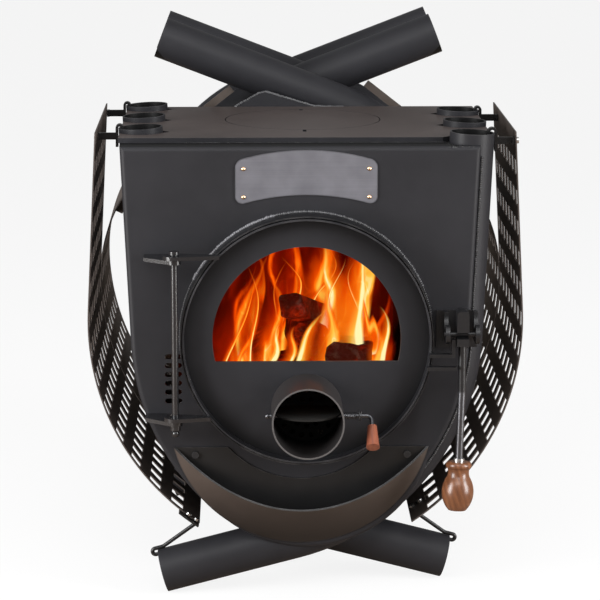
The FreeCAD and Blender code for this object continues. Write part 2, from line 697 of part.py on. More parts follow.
def make_front_plate():
    """Front plate with a door opening, air slots and edges bent back at the top and on the left."""
    left = val("front_plate_left_edge")
    right = val("front_plate_right_edge")
    sheet = val("flange_thickness")
    top = val("top_under_z")
    bottom = val("front_plate_bottom")
    corner = left - 2 * sheet
    tube_side = math.sqrt(tube_radius ** 2 - corner ** 2)
    flange_back = tube_y(1) - tube_side - val("weld_gap")
    depth = flange_back - val("plate_front_y")
    outline = Part.Face(Part.Wire(plate_outline(left, right, top, bottom)))
    block = extruded(outline, val("plate_front_y"), depth)
    front_edges = [edge for edge in block.Edges if edge.BoundBox.YMax < val("plate_front_y") + 0.01]
    block = block.makeFillet(val("flange_bend_radius"), front_edges)
    inside = Part.Face(Part.Wire(plate_outline(left - sheet, right + sheet, top - sheet, bottom + sheet)))
    hollow_part = extruded(inside, val("plate_back_y"), depth)
    span = 2 * val("top_plate_half_width")
    back = val("plate_back_y")
    below = Part.makeBox(span, depth, top, Vector(-val("left_flange_foot"), back, -val("tube_od")))
    aside = Part.makeBox(span, depth, val("top_height"), Vector(val("top_flange_end"), back, 0))
    above = Part.makeBox(span, depth, val("tube_od"), Vector(
        -val("outlet_half_span") - corner, val("first_tube_y"), top - val("tube_od") / 2))
    tray = feature("front_plate_tray", block.cut(hollow_part.multiFuse([below, aside, above])))
    opening = cylinder("front_plate_opening", "door_opening_radius", "front_plate_thickness + 2",
                       (0, "plate_front_y - 1", "door_z"), "y")
    slots = [air_slot(number) for number in range(6)]
    return node(cut("front_plate", tray, opening, *slots), "front_plate")


def air_slot(number):
    """A slot with round ends through the front plate."""
    name = "air_slot_%d" % (number + 1)
    middle = "door_z - slot_below_door - %d * slot_pitch" % number
    depth = "front_plate_thickness + 2"
    flat = "slot_length - slot_height"
    ends = [cylinder("%s_%d" % (name, end), "slot_height / 2", depth,
                     ("-slot_x + %d * (%s) / 2" % (end, flat), "plate_front_y - 1", middle), "y")
            for end in (-1, 1)]
    bar = box(name + "_bar", (flat, depth, "slot_height"),
              ("-slot_x - (%s) / 2" % flat, "plate_front_y - 1", middle + " - slot_height / 2"))
    return fuse(name, bar, *ends)


def make_back_plate():
    """Back plate along the outside of the tube lines up to the crossing, with the flue hole."""
    offset = val("front_plate_right_edge")
    radius = val("lower_bend_radius") + offset
    angle = -math.degrees(math.acos(-bend_centre.x / radius))
    route = start_low(angle, radius)
    route.turn(radius, -val("side_lean") - angle)
    route.line(rear_side_run)
    route.turn(val("upper_bend_radius") + offset, cross_turn - side_heading)
    route.line(route.point.x / math.cos(math.radians(val("cross_slope"))))
    right = route.edges()
    left = [mirrored(edge, -1) for edge in right]
    face = Part.Face(Part.Wire(Part.__sortEdges__(right + left)))
    plate = feature("back_plate_blank", extruded(face, val("back_plate_y"), val("back_plate_thickness")))
    hole = cylinder("back_plate_hole", "flue_od / 2 - flue_wall", "back_plate_thickness + 2",
                    (0, "back_plate_y - 1", "flue_height"), "y")
    node(cut("back_plate", plate, hole), "back_plate")


def make_flue_collar():
    node(ring("flue_collar", "flue_od / 2", "flue_od / 2 - flue_wall", "flue_start_y", "flue_length",
              0, "flue_height"), "flue_collar")


def make_baffle():
    node(box("baffle_plate", ("baffle_width", "baffle_depth", "baffle_thickness"),
             ("-baffle_width / 2", "back_plate_y - baffle_depth", "flue_height - baffle_below_flue")),
         "baffle_plate")


def make_top_plate():
    plate = box("top_plate_blank",
                ("2 * top_plate_half_width", "step_y - first_tube_y", "top_plate_thickness"),
                ("-top_plate_half_width", "first_tube_y", "top_under_z"))
    tall = "top_plate_thickness + 2"
    under = "top_under_z - 1"
    holes = [cylinder("lid_hole", "lid_radius + lid_clearance", tall, (0, "lid_y", under), "z")]
    holes.append(box("lid_hole_notch", ("lid_notch_width", "top_notch_depth", tall),
                     ("-lid_notch_width / 2", "lid_y - lid_radius - top_notch_depth", under)))
    for number in range(6):
        side = "" if number % 2 == 0 else "-"
        y = "first_tube_y + %d * tube_pitch" % number
        name = "outlet_%d" % (number + 1)
        hole = cylinder(name + "_hole", "tube_od / 2 + outlet_clearance", tall,
                        (side + "outlet_half_span", y, under), "z")
        holes.append(hole)
        notch = box(name + "_notch", ("outlet_notch", "outlet_notch", tall),
                    ("%s(outlet_half_span - tube_od / 2)" % side, "%s - outlet_notch * 0.7071" % y, under),
                    Rotation(Vector(0, 0, 1), 45))
        holes.append(notch)
    holes.append(box("top_plate_corner", ("top_plate_half_width - outlet_half_span + 1", "tube_od", tall),
                     ("-top_plate_half_width - 1", "first_tube_y + 5 * tube_pitch", under)))
    node(cut("top_plate", plate, *holes), "top_plate")


def make_lid():
    """Lid as a pad with a lifting notch, and the ledge ring under it."""
    body = doc.addObject("PartDesign::Body", "lid")
    sketch = body.newObject("Sketcher::SketchObject", "lid_outline")
    attach(sketch, body, "XY_Plane")
    circle_in_sketch(sketch, (0, 0), "lid_radius")
    pad = body.newObject("PartDesign::Pad", "lid_pad")
    pad.Profile = sketch
    pad.setExpression("Length", expr("top_plate_thickness - lid_lift_gap"))
    notch = body.newObject("Sketcher::SketchObject", "lid_notch_outline")
    attach(notch, body, "XY_Plane")
    rectangle_in_sketch(notch, "lid_notch_width", "lid_notch_depth", "lid_radius")
    doc.recompute()
    pocket = body.newObject("PartDesign::Pocket", "lid_notch")
    pocket.Profile = notch
    pocket.Type = "ThroughAll"
    pocket.Reversed = True
    put(body, (0, "lid_y", "top_under_z + lid_lift_gap"), Rotation())
    node(body, "lid")
    node(hollow("lid_ledge", "lid_radius + ledge_overlap", "lid_radius + ledge_overlap - ledge_width",
                "top_under_z - ledge_thickness", "ledge_thickness", 0, "lid_y"), "lid_ledge")


def attach(sketch, body, role):
    """Lay a sketch on an origin plane of its own body."""
    plane = [item for item in body.Origin.OriginFeatures if item.Role == role][0]
    sketch.AttachmentSupport = [(plane, "")]
    sketch.MapMode = "FlatFace"


def circle_in_sketch(sketch, centre, radius, drop=None):
    """A circle on the sketch's upright axis, with its radius and drop bound to the sheet."""
    number = sketch.addGeometry(Part.Circle(Vector(centre[0], centre[1], 0), Vector(0, 0, 1), val(radius)))
    bound = sketch.addConstraint(Sketcher.Constraint("Radius", number, val(radius)))
    sketch.setExpression("Constraints[%d]" % bound, expr(radius))
    if drop is None:
        sketch.addConstraint(Sketcher.Constraint("Coincident", number, 3, -1, 1))
    else:
        sketch.addConstraint(Sketcher.Constraint("PointOnObject", number, 3, -2))
        bound = sketch.addConstraint(Sketcher.Constraint("DistanceY", number, 3, -1, 1, val(drop)))
        sketch.setExpression("Constraints[%d]" % bound, expr(drop))
    return number


def rectangle_in_sketch(sketch, width, depth, far):
    """A rectangle about the upright axis, whose far side lies at a distance from the origin."""
    half = val(width) / 2
    top = val(far)
    low = top - val(depth)
    corners = [Vector(-half, low, 0), Vector(half, low, 0), Vector(half, top, 0), Vector(-half, top, 0)]
    for number in range(4):
        sketch.addGeometry(Part.LineSegment(corners[number], corners[(number + 1) % 4]))
    for number in range(4):
        sketch.addConstraint(Sketcher.Constraint("Coincident", number, 2, (number + 1) % 4, 1))
    for number, way in ((1, "Vertical"), (2, "Horizontal"), (3, "Vertical")):
        sketch.addConstraint(Sketcher.Constraint(way, number))
    sketch.addConstraint(Sketcher.Constraint("Symmetric", 0, 1, 0, 2, -2))
    lengths = (
        (Sketcher.Constraint("DistanceX", 0, 1, 0, 2, val(width)), width),
        (Sketcher.Constraint("DistanceY", 1, 1, 1, 2, val(depth)), depth),
        (Sketcher.Constraint("DistanceY", -1, 1, 2, 1, top), far),
    )
    for constraint, size in lengths:
        bound = sketch.addConstraint(constraint)
        sketch.setExpression("Constraints[%d]" % bound, expr(size))


def make_step_plates():
    """Plates behind the cooking top: a gable below the crossing and a corner piece on each side."""
    top = val("top_height")
    gable = Part.makePolygon([
        Vector(-val("gable_left"), 0, val("top_under_z")),
        Vector(-val("gable_left"), 0, top),
        Vector(-val("gable_peak"), 0, top + val("gable_rise")),
        Vector(val("gable_right"), 0, top),
        Vector(val("gable_right"), 0, val("top_under_z")),
        Vector(-val("gable_left"), 0, val("top_under_z")),
    ])
    pieces = [feature("step_gable", extruded(Part.Face(gable), val("step_y"), val("step_thickness")))]
    roof = val("upper_bend_radius") + val("strip_thickness") / 2 + val("weld_gap")
    level = val("top_under_z") - val("weld_gap")
    tube_half = math.sqrt(tube_radius ** 2 - (val("step_y") - tube_y(5)) ** 2)
    wall_x = side_start.x - tube_half - val("weld_gap")
    meet_angle = math.degrees(math.acos((wall_x - upper_centre.x) / roof))
    straight_angle = cross_turn - 90
    low = polar(upper_centre, roof, meet_angle)
    middle = polar(upper_centre, roof, (meet_angle + straight_angle) / 2)
    straight = polar(upper_centre, roof, straight_angle)
    inside_x = straight.x - (level - straight.z) / math.tan(math.radians(val("cross_slope")))
    corner = Vector(wall_x, 0, level)
    high = Vector(inside_x, 0, level)
    face = Part.Face(Part.Wire([
        Part.LineSegment(high, corner).toShape(),
        Part.LineSegment(corner, low).toShape(),
        Part.Arc(low, middle, straight).toShape(),
        Part.LineSegment(straight, high).toShape(),
    ]))
    for side, name in ((1, "step_corner_right"), (-1, "step_corner_left")):
        pieces.append(feature(name, extruded(mirrored(face, side), val("step_y"), val("step_thickness"))))
    node(group("step_plates", *pieces), "step_plates")


# Door

def make_door_frame():
    wall = ring("frame_wall", "frame_ring_radius", "frame_ring_radius - frame_ring_wall", "frame_front_y",
                "frame_ring_depth", 0, "door_z")
    base = ring("frame_base", "frame_ring_radius", "door_opening_radius",
                "plate_front_y - frame_base_thickness", "frame_base_thickness", 0, "door_z")
    seat = ring("frame_seat", "door_opening_radius + seat_ring_width", "door_opening_radius",
                "seat_front_y", "plate_front_y - seat_front_y", 0, "door_z")
    node(fuse("door_frame_ring", wall, base, seat), "door_frame_ring")


def make_door():
    node(ring("door_rim", "door_radius", "door_radius - rim_wall", "rim_front_y", "door_recess", 0, "door_z"),
         "door_rim")
    body = doc.addObject("PartDesign::Body", "door_plate")
    sketch = body.newObject("Sketcher::SketchObject", "door_outline")
    attach(sketch, body, "XZ_Plane")
    circle_in_sketch(sketch, (0, 0), "door_radius")
    circle_in_sketch(sketch, (0, -val("inlet_below_door")), "inlet_bore_radius", "inlet_below_door")
    window_in_sketch(sketch)
    pad = body.newObject("PartDesign::Pad", "door_pad")
    pad.Profile = sketch
    pad.setExpression("Length", expr("door_plate_thickness"))
    put(body, (0, "door_back_y", "door_z"), Rotation())
    node(body, "door_plate")
    disc = cylinder("glass_disc", "window_radius + glass_margin", "glass_thickness",
                    (0, "door_back_y", "door_z"), "y")
    wide = "2 * (window_radius + glass_margin)"
    keep = box("glass_keep", (wide, "glass_thickness", wide),
               ("-(window_radius + glass_margin)", "door_back_y", "door_z - window_chord - glass_margin"))
    node(common("window_glass", disc, keep), "window_glass")
    gasket = doc.addObject("Part::Torus", "door_gasket")
    gasket.setExpression("Radius1", expr("gasket_radius"))
    gasket.setExpression("Radius2", expr("gasket_diameter / 2"))
    put(gasket, (0, "door_back_y + gasket_diameter / 2", "door_z"), TURN["y"])
    node(gasket, "door_gasket")


def window_in_sketch(sketch):
    """A circle segment with a level lower edge, bound to the window's radius and chord."""
    radius = val("window_radius")
    chord = val("window_chord")
    low = math.asin(chord / radius)
    arc = sketch.addGeometry(Part.ArcOfCircle(
        Part.Circle(Vector(), Vector(0, 0, 1), radius), -low, math.pi + low))
    half = radius * math.cos(low)
    line = sketch.addGeometry(Part.LineSegment(Vector(-half, -chord, 0), Vector(half, -chord, 0)))
    sketch.addConstraint(Sketcher.Constraint("Coincident", arc, 3, -1, 1))
    sketch.addConstraint(Sketcher.Constraint("Coincident", arc, 2, line, 1))
    sketch.addConstraint(Sketcher.Constraint("Coincident", arc, 1, line, 2))
    sketch.addConstraint(Sketcher.Constraint("Horizontal", line))
    bound = sketch.addConstraint(Sketcher.Constraint("Radius", arc, radius))
    sketch.setExpression("Constraints[%d]" % bound, expr("window_radius"))
    bound = sketch.addConstraint(Sketcher.Constraint("DistanceY", line, 1, -1, 1, chord))
    sketch.setExpression("Constraints[%d]" % bound, expr("window_chord"))


def make_glass_clips():
    """Four clips behind the door that hold the glass, each with a screw beside the glass."""
    clips = []
    screws = []
    grip = val("window_radius") + val("glass_margin")
    back = val("door_back_y") + val("glass_thickness")
    for number, angle in enumerate((20, 70, 110, 160), start=1):
        turn = Placement(Vector(0, 0, val("door_z")), Rotation(Vector(0, -1, 0), angle))
        foot_box = Part.makeBox(val("clip_foot"), val("glass_thickness"), val("clip_width"),
                                Vector(grip + val("weld_gap"), val("door_back_y"), -val("clip_width") / 2))
        tongue = Part.makeBox(val("clip_overlap") + val("clip_foot"), val("clip_thickness"),
                              val("clip_width"), Vector(grip + val("weld_gap") - val("clip_overlap"), back,
                                                        -val("clip_width") / 2))
        clip = foot_box.fuse(tongue).removeSplitter()
        clip.Placement = turn
        clips.append(feature("glass_clip_%d" % number, clip))
        head = Part.makeCylinder(val("clip_screw_diameter"), val("clip_screw_head"),
                                 Vector(grip + val("weld_gap") + val("clip_foot") / 2,
                                        back + val("clip_thickness"), 0), Vector(0, 1, 0))
        head.Placement = turn
        screws.append(feature("glass_screw_%d" % number, head))
    node(group("glass_clips", *clips), "glass_clips")
    node(group("glass_clip_screws", *screws), "glass_clip_screws")


# Air inlet and flap

def make_inlet():
    pipe = ring("inlet_tube", "inlet_od / 2", "inlet_bore_radius", "inlet_front_y", "inlet_length",
                0, "inlet_z")
    bore = cylinder("inlet_shaft_bore", "shaft_diameter / 2 + running_clearance", "inlet_od + 2",
                    ("-inlet_od / 2 - 1", "shaft_y", "inlet_z"), "x")
    node(cut("air_inlet_pipe", pipe, bore), "air_inlet_pipe")
    disc = cylinder("screen_disc", "inlet_bore_radius + screen_margin", "screen_thickness",
                    (0, "door_back_y", "inlet_z"), "y")
    holes = []
    for ring_number in range(4):
        count = max(1, 6 * ring_number)
        for place in range(count):
            angle = 360 * place / count
            out = "%d * (inlet_bore_radius - screen_hole) / 3" % ring_number
            holes.append(cylinder("screen_hole_%d_%d" % (ring_number, place), "screen_hole / 2",
                                  "screen_thickness + 2",
                                  ("%s * cos(%g)" % (out, angle), "door_back_y - 1",
                                   "inlet_z + %s * sin(%g)" % (out, angle)), "y"))
    node(cut("spark_screen", disc, *holes), "spark_screen")


def make_flap():
    disc = cylinder("flap_disc", "inlet_bore_radius - flap_clearance", "flap_thickness",
                    (0, "shaft_y", "inlet_z + shaft_diameter / 2"), "z")
    node(disc, "damper_flap")
    pipe_side = val("inlet_od") / 2
    bend = Vector(val("shaft_bend_x"), val("shaft_y"), val("inlet_z"))
    tilt = math.radians(val("handle_tilt"))
    down = Vector(0, -math.sin(tilt), -math.cos(tilt))
    rod_tip = bend + down * (val("handle_start") + val("handle_bore_depth"))
    start = Vector(-pipe_side - val("shaft_left_end"), bend.y, bend.z)
    rod = sweep("damper_rod", "shaft_diameter / 2",
                rounded_path([start, bend, rod_tip], [val("shaft_bend_radius")]))
    pin = cylinder("damper_cross_pin", "cross_pin_diameter / 2", "cross_pin_length",
                   ("washer_x + washer_thickness + cross_pin_diameter / 2", "shaft_y",
                    "inlet_z - cross_pin_length / 2"), "z")
    ball = sphere("damper_ball", "shaft_ball_radius",
                  ("-inlet_od / 2 - shaft_left_end", "shaft_y", "inlet_z"))
    node(fuse("damper_shaft", rod, pin, ball), "damper_shaft")
    handle = Part.makeCone(val("handle_top_radius"), val("handle_end_radius"), val("handle_length"),
                           bend + down * val("handle_start"), down)
    bore = Part.makeCylinder(val("shaft_diameter") / 2 + val("running_clearance"),
                             val("handle_bore_depth") + val("running_clearance") + 1,
                             bend + down * (val("handle_start") - 1), down)
    node(feature("damper_handle", handle.cut(bore)), "damper_handle")
    washer = hollow_along_x("washer_ring", "washer_radius", "shaft_diameter / 2 + running_clearance",
                            "washer_x", "washer_thickness")
    node(washer, "damper_washer")


def hollow_along_x(name, outside, inside, start_x, length):
    outer = cylinder(name + "_outside", outside, length, (start_x, "shaft_y", "inlet_z"), "x")
    inner = cylinder(name + "_inside", inside, "%s + 2" % length,
                     ("%s - 1" % start_x, "shaft_y", "inlet_z"), "x")
    return cut(name, outer, inner)


def make_spring():
    """Coil spring round the flap shaft: one wire on a helix, in half turns of two biarcs each."""
    wire = val("spring_wire")
    radius = val("shaft_diameter") / 2 + val("spring_clearance") + wire / 2
    turns = int(val("spring_turns"))
    pitch = val("spring_pitch")
    start = Vector(val("spring_start_x") + wire / 2, val("shaft_y"), val("inlet_z"))
    quarter_points = []
    for step in range(4 * turns + 1):
        angle = math.pi / 2 * step
        round_axis = Vector(0, radius * math.cos(angle), radius * math.sin(angle))
        quarter_points.append(start + Vector(pitch * step / 4, 0, 0) + round_axis)
    edges = []
    for step in range(4 * turns):
        edges.extend(biarc(quarter_points[step], helix_heading(radius, pitch, step),
                           quarter_points[step + 1], helix_heading(radius, pitch, step + 1)))
    path = Part.Wire(edges)
    heading = helix_heading(radius, pitch, 0)
    section = Part.Wire(Part.Circle(quarter_points[0], heading, wire / 2).toShape())
    coil = path.makePipeShell([section], True, False)
    node(feature("damper_spring", coil), "damper_spring")
    print("spring: least gap to itself %.2f mm" % least_gap(path, wire, 2 * math.pi * radius))


def helix_heading(radius, pitch, quarter):
    """Direction of the spring's wire after some quarter turns."""
    angle = math.pi / 2 * quarter
    heading = Vector(pitch / (2 * math.pi), -radius * math.sin(angle), radius * math.cos(angle))
    return heading.normalize()


def biarc(start, start_heading, end, end_heading):
    """Two tangent arcs between two points with given headings."""
    chord = end - start
    sum_heading = start_heading + end_heading
    a = 2 * (1 - start_heading.dot(end_heading))
    b = 2 * chord.dot(sum_heading)
    reach = (-b + math.sqrt(b * b + 4 * a * chord.dot(chord))) / (2 * a)
    first_corner = start + start_heading * reach
    last_corner = end - end_heading * reach
    joint = (first_corner + last_corner) * 0.5
    joint_heading = (last_corner - first_corner).normalize()
    return [tangent_arc(start, start_heading, joint), tangent_arc(joint, joint_heading, end)]


def tangent_arc(start, heading, end):
    """The arc from a point with a heading to another point."""
    chord = end - start
    square = chord - heading * chord.dot(heading)
    centre_way = square.normalize()
    radius = chord.dot(chord) / (2 * chord.dot(centre_way))
    centre = start + centre_way * radius
    middle = ((start + end) * 0.5 - centre).normalize()
    return Part.Arc(start, centre + middle * radius, end).toShape()


def least_gap(path, wire, turn_length):
    """Smallest clear distance between stretches of the wire that lie over half a turn apart."""
    points = path.discretize(Number=400)
    step = path.Length / 399
    skip = int(turn_length / 2 / step)
    return min((a - b).Length for index, a in enumerate(points) for b in points[index + skip:]) - wire


# Hinge

def make_hinge():
    door_lugs = []
    frame_lugs = []
    washers = []
    upper = ("upper", "door_z + hinge_upper", val("hinge_upper"))
    lower = ("lower", "door_z - hinge_lower", val("hinge_lower") - val("lug_thickness"))
    for name, z, nearer_face in (upper, lower):
        half_chord = math.sqrt(val("door_radius") ** 2 - nearer_face ** 2)
        back = Vector(-half_chord, val("rim_front_y"), 0)
        front = back - Vector(0, val("lug_width"), 0)
        reach = Vector(val("lug_reach"), 0, 0)
        door_lugs.append(hinge_lug("door_lug_" + name, val("door_lug_eye"),
                                   [back, back + reach, front + reach, front], z))
        far_root = Vector(-val("hinge_x") - val("frame_lug_spread"), val("plate_front_y"), 0)
        far_end = far_root - Vector(0, val("frame_lug_end"), 0)
        near_root = far_root + Vector(val("frame_lug_root"), 0, 0)
        frame_lugs.append(hinge_lug("frame_lug_" + name, val("frame_lug_eye"), [far_end, far_root, near_root],
                                    z + " - lug_gap - lug_thickness"))
        washers.append(hollow("hinge_washer_" + name, "hinge_washer_radius",
                              "hinge_pin_diameter / 2 + running_clearance",
                              z + " - lug_gap", "hinge_washer_thickness", "-hinge_x", "hinge_y"))
    node(group("hinge_door_lugs", *door_lugs), "hinge_door_lugs")
    node(group("hinge_frame_lugs", *frame_lugs), "hinge_frame_lugs")
    node(group("hinge_washers", *washers), "hinge_washers")
    bottom = "door_z - hinge_lower - lug_gap - lug_thickness - hinge_nut_height"
    top = "door_z + hinge_upper + lug_thickness + lug_gap"
    pin = cylinder("hinge_pin_rod", "hinge_pin_diameter / 2", "(%s) - (%s)" % (top, bottom),
                   ("-hinge_x", "hinge_y", bottom), "z")
    head = cylinder("hinge_pin_head", "hinge_head_radius", "hinge_head_height",
                    ("-hinge_x", "hinge_y", top), "z")
    ball = sphere("hinge_pin_ball", "hinge_ball_radius",
                  ("-hinge_x", "hinge_y", "%s - hinge_ball_radius * 0.9" % bottom))
    node(fuse("hinge_pin", pin, head, ball), "hinge_pin")
    node(hollow("hinge_nut", "hinge_head_radius", "hinge_pin_diameter / 2 + running_clearance", bottom,
                "hinge_nut_height", "-hinge_x", "hinge_y"), "hinge_nut")


def hinge_lug(name, eye_radius, root, z):
    """A flat plate whose edges run from both ends of its welded root to its eye on the hinge pin."""
    pin = Vector(-val("hinge_x"), val("hinge_y"), 0)
    thick = val("lug_thickness")
    edges = [tangent_point(pin, eye_radius, root[-1], -1), tangent_point(pin, eye_radius, root[0], 1)]
    outline = root + edges + root[:1]
    blank = Part.Face(Part.makePolygon(outline)).extrude(Vector(0, 0, thick))
    eye = Part.makeCylinder(eye_radius, thick, pin)
    bore_radius = val("hinge_pin_diameter") / 2 + val("running_clearance")
    bore = Part.makeCylinder(bore_radius, thick + 2, pin - Vector(0, 0, 1))
    return put(feature(name, blank.fuse(eye).removeSplitter().cut(bore)), (0, 0, z), Rotation())


def tangent_point(centre, radius, point, side):
    """Where a line from a point touches a circle, on the left (1) or right (-1) seen from the centre."""
    reach = point - centre
    angle = math.atan2(reach.y, reach.x) + side * math.acos(radius / reach.Length)
    return centre + Vector(radius * math.cos(angle), radius * math.sin(angle), 0)


# Latch

def make_latch():
    base = box("latch_base",
               ("latch_base_left + cheek_gap + 2 * cheek_thickness", "latch_base_thickness",
                "cheek_top + latch_base_drop"),
               ("cheek_left_x - latch_base_left", "plate_front_y - latch_base_thickness",
                "latch_height - latch_base_drop"))
    cheeks = []
    for name, x in (("left", "cheek_left_x"), ("right", "cheek_right_x")):
        web = box("cheek_web_" + name, ("cheek_thickness", "latch_pin_forward - latch_base_thickness / 2",
                                        "cheek_top + cheek_radius"),
                  (x, "latch_pin_y", "latch_height - cheek_radius"))
        nose = cylinder("cheek_nose_" + name, "cheek_radius", "cheek_thickness",
                        (x, "latch_pin_y", "latch_height"), "x")
        brow = cylinder("cheek_brow_" + name, "cheek_top", "cheek_thickness + 2",
                        (x + " - 1", "latch_pin_y", "latch_height + cheek_top"), "x")
        cheeks.append(fuse("cheek_" + name, cut("cheek_blank_" + name, web, brow), nose))
    bore = cylinder("latch_bore", "latch_pin_diameter / 2 + running_clearance",
                    "cheek_gap + 4 * cheek_thickness",
                    ("cheek_left_x - cheek_thickness", "latch_pin_y", "latch_height"), "x")
    node(cut("latch_bracket", fuse("latch_bracket_blank", base, *cheeks), bore), "latch_bracket")
    node(cylinder("latch_pin", "latch_pin_diameter / 2", "cheek_gap + 2 * cheek_thickness + 4",
                  ("cheek_left_x - 2", "latch_pin_y", "latch_height"), "x"), "latch_pin")


def make_lever():
    """Lever head with a cam above the pin and a rod below it, and the knob on the rod."""
    trunk = box("lever_trunk", ("lever_width", "lever_depth", "lever_bottom + lever_top - lever_width / 2"),
                ("latch_x - lever_width / 2", "latch_pin_y - lever_depth / 2", "latch_height - lever_bottom"))
    dome = cylinder("lever_dome", "lever_width / 2", "lever_depth",
                    ("latch_x", "latch_pin_y - lever_depth / 2",
                     "latch_height + lever_top - lever_width / 2"), "y")
    head = fuse("lever_block", trunk, dome)
    crown = cylinder("lever_crown", "lever_top", "lever_width",
                     ("latch_x - lever_width / 2", "latch_pin_y", "latch_height"), "x")
    rounded = common("lever_head", head, fuse("lever_envelope", crown, box(
        "lever_foot", ("lever_width", "lever_depth", "lever_bottom"),
        ("latch_x - lever_width / 2", "latch_pin_y - lever_depth / 2", "latch_height - lever_bottom"))))
    notch = box("lever_notch_cut", ("lever_width + 2", "lever_depth / 2", "lever_notch"),
                ("latch_x - lever_width / 2 - 1", "latch_pin_y - lever_depth / 2",
                 "latch_height - lever_notch / 2"))
    bore = cylinder("lever_bore", "latch_pin_diameter / 2 + running_clearance", "lever_width + 2",
                    ("latch_x - lever_width / 2 - 1", "latch_pin_y", "latch_height"), "x")
    top = Vector(val("latch_x"), val("latch_pin_y"), val("latch_height") - val("lever_bottom") + 2)
    knee = Vector(val("latch_x"), val("latch_pin_y"), val("latch_height") - val("rod_knee"))
    bottom = Vector(val("rod_x"), val("rod_y"), val("rod_end_z"))
    rod = sweep("lever_rod", "rod_diameter / 2", rounded_path([top, knee, bottom], [val("rod_knee_radius")]))
    node(fuse("latch_lever", cut("lever_head_bored", rounded, notch, bore), rod), "latch_lever")
    on_rod = Placement(bottom, Rotation(Vector(0, 0, -1), bottom - knee))
    ferrule = Part.makeCylinder(val("ferrule_radius"), val("ferrule_height"))
    room = Part.makeCylinder(val("rod_diameter") / 2 + val("running_clearance"), val("ferrule_height"))
    for name, shape in (("latch_ferrule", ferrule.cut(room)), ("latch_knob", knob_shape())):
        obj = feature(name, shape)
        obj.Placement = on_rod
        node(obj, name)


def knob_shape():
    """Turned knob below the origin: collar, neck, bulb and a flat end."""
    high = val("knob_height")
    collar = val("knob_collar_radius")
    neck = val("knob_neck_radius")
    collar_end = high * 0.14
    neck_end = high * 0.34
    profile = [
        Part.LineSegment(Vector(0, 0, 0), Vector(neck, 0, 0)).toShape(),
        Part.Arc(Vector(neck, 0, 0), Vector(collar, 0, -collar_end / 2),
                 Vector(neck + 1, 0, -collar_end)).toShape(),
        Part.Arc(Vector(neck + 1, 0, -collar_end), Vector(neck, 0, -(collar_end + neck_end) / 2),
                 Vector(neck + 2.5, 0, -neck_end)).toShape(),
        Part.Arc(Vector(neck + 2.5, 0, -neck_end), Vector(val("knob_radius"), 0, -high * 0.64),
                 Vector(val("knob_foot_radius"), 0, -high)).toShape(),
        Part.LineSegment(Vector(val("knob_foot_radius"), 0, -high), Vector(0, 0, -high)).toShape(),
        Part.LineSegment(Vector(0, 0, -high), Vector(0, 0, 0)).toShape(),
    ]
    return Part.Face(Part.Wire(profile)).revolve(Vector(), Vector(0, 0, 1), 360)


def make_keeper():
    """Flat bar on the door rim that reaches in beside the latch cam, with a second arm below it."""
    upper_z = "latch_height - keeper_below_pin"
    rise = val("latch_height") - val("keeper_below_pin") - val("door_z")
    half = math.sqrt(val("door_radius") ** 2 - rise ** 2)
    link_x = "cheek_left_x + cheek_thickness + keeper_clearance"
    start = "%g" % (half - val("rim_wall"))
    front = "rim_front_y - keeper_width"
    arm = box("keeper_arm",
              ("%s + keeper_thickness - %s" % (link_x, start), "keeper_width", "keeper_thickness"),
              (start, front, upper_z))
    link = box("keeper_link", ("keeper_thickness", "keeper_width",
                               "keeper_below_pin - latch_pin_diameter / 2 - keeper_clearance"),
               (link_x, front, upper_z))
    low_z = "%s - second_arm_drop" % upper_z
    drop = val("latch_height") - val("keeper_below_pin") - val("second_arm_drop") - val("door_z")
    low_start = math.sqrt(val("door_radius") ** 2 - drop ** 2) - val("rim_wall")
    lower_arm = box("keeper_lower_arm", ("second_arm_length", "keeper_width", "keeper_thickness"),
                    ("%g" % low_start, front, low_z))
    node(group("door_keeper", fuse("keeper_hook", arm, link), lower_arm), "door_keeper")


# Name plate and ash lip

def make_name_plate():
    """Bare plate with a curved top and bottom and four rivets."""
    half = val("name_plate_half_width")
    corner = val("name_plate_corner")
    drop = val("name_plate_drop")
    top = val("door_z") + val("frame_ring_radius") + val("name_plate_top")
    low = top - val("name_plate_height")
    front = val("plate_front_y") - val("name_plate_thickness")
    slope = math.atan2(2 * drop, half)
    inner = half - corner
    lower_z = low - drop
    outline = [
        Part.Arc(Vector(-inner, 0, top - drop * (inner / half) ** 2), Vector(0, 0, top),
                 Vector(inner, 0, top - drop * (inner / half) ** 2)).toShape(),
        Part.Arc(Vector(-inner, 0, low - drop * (inner / half) ** 2), Vector(0, 0, low),
                 Vector(inner, 0, low - drop * (inner / half) ** 2)).toShape(),
    ]
    for side in (-1, 1):
        upper = Vector(side * inner, 0, top - drop * (inner / half) ** 2)
        lower = Vector(side * inner, 0, low - drop * (inner / half) ** 2)
        shoulder = Vector(side * half, 0, upper.z - corner * math.tan(slope) - corner * 0.6)
        foot_point = Vector(side * half, 0, lower.z + corner * 0.9)
        cheek = Vector(side * (half - corner * 0.25), 0, upper.z - corner * 0.42)
        heel = Vector(side * (half - corner * 0.3), 0, lower.z + corner * 0.16)
        outline.append(Part.Arc(upper, cheek, shoulder).toShape())
        outline.append(Part.LineSegment(shoulder, foot_point).toShape())
        outline.append(Part.Arc(foot_point, heel, lower).toShape())
    face = Part.Face(Part.Wire(Part.__sortEdges__(outline)))
    node(feature("name_plate", extruded(face, front, val("name_plate_thickness"))), "name_plate")
    rivets = []
    for number, (side, z) in enumerate(((-1, top - drop - corner * 0.9), (1, top - drop - corner * 0.9),
                                        (-1, lower_z + corner), (1, lower_z + corner)), start=1):
        head = rivet_head(Vector(side * (half - val("rivet_inset")), front, z))
        rivets.append(feature("name_plate_rivet_%d" % number, head))
    node(group("name_plate_rivets", *rivets), "name_plate_rivets")


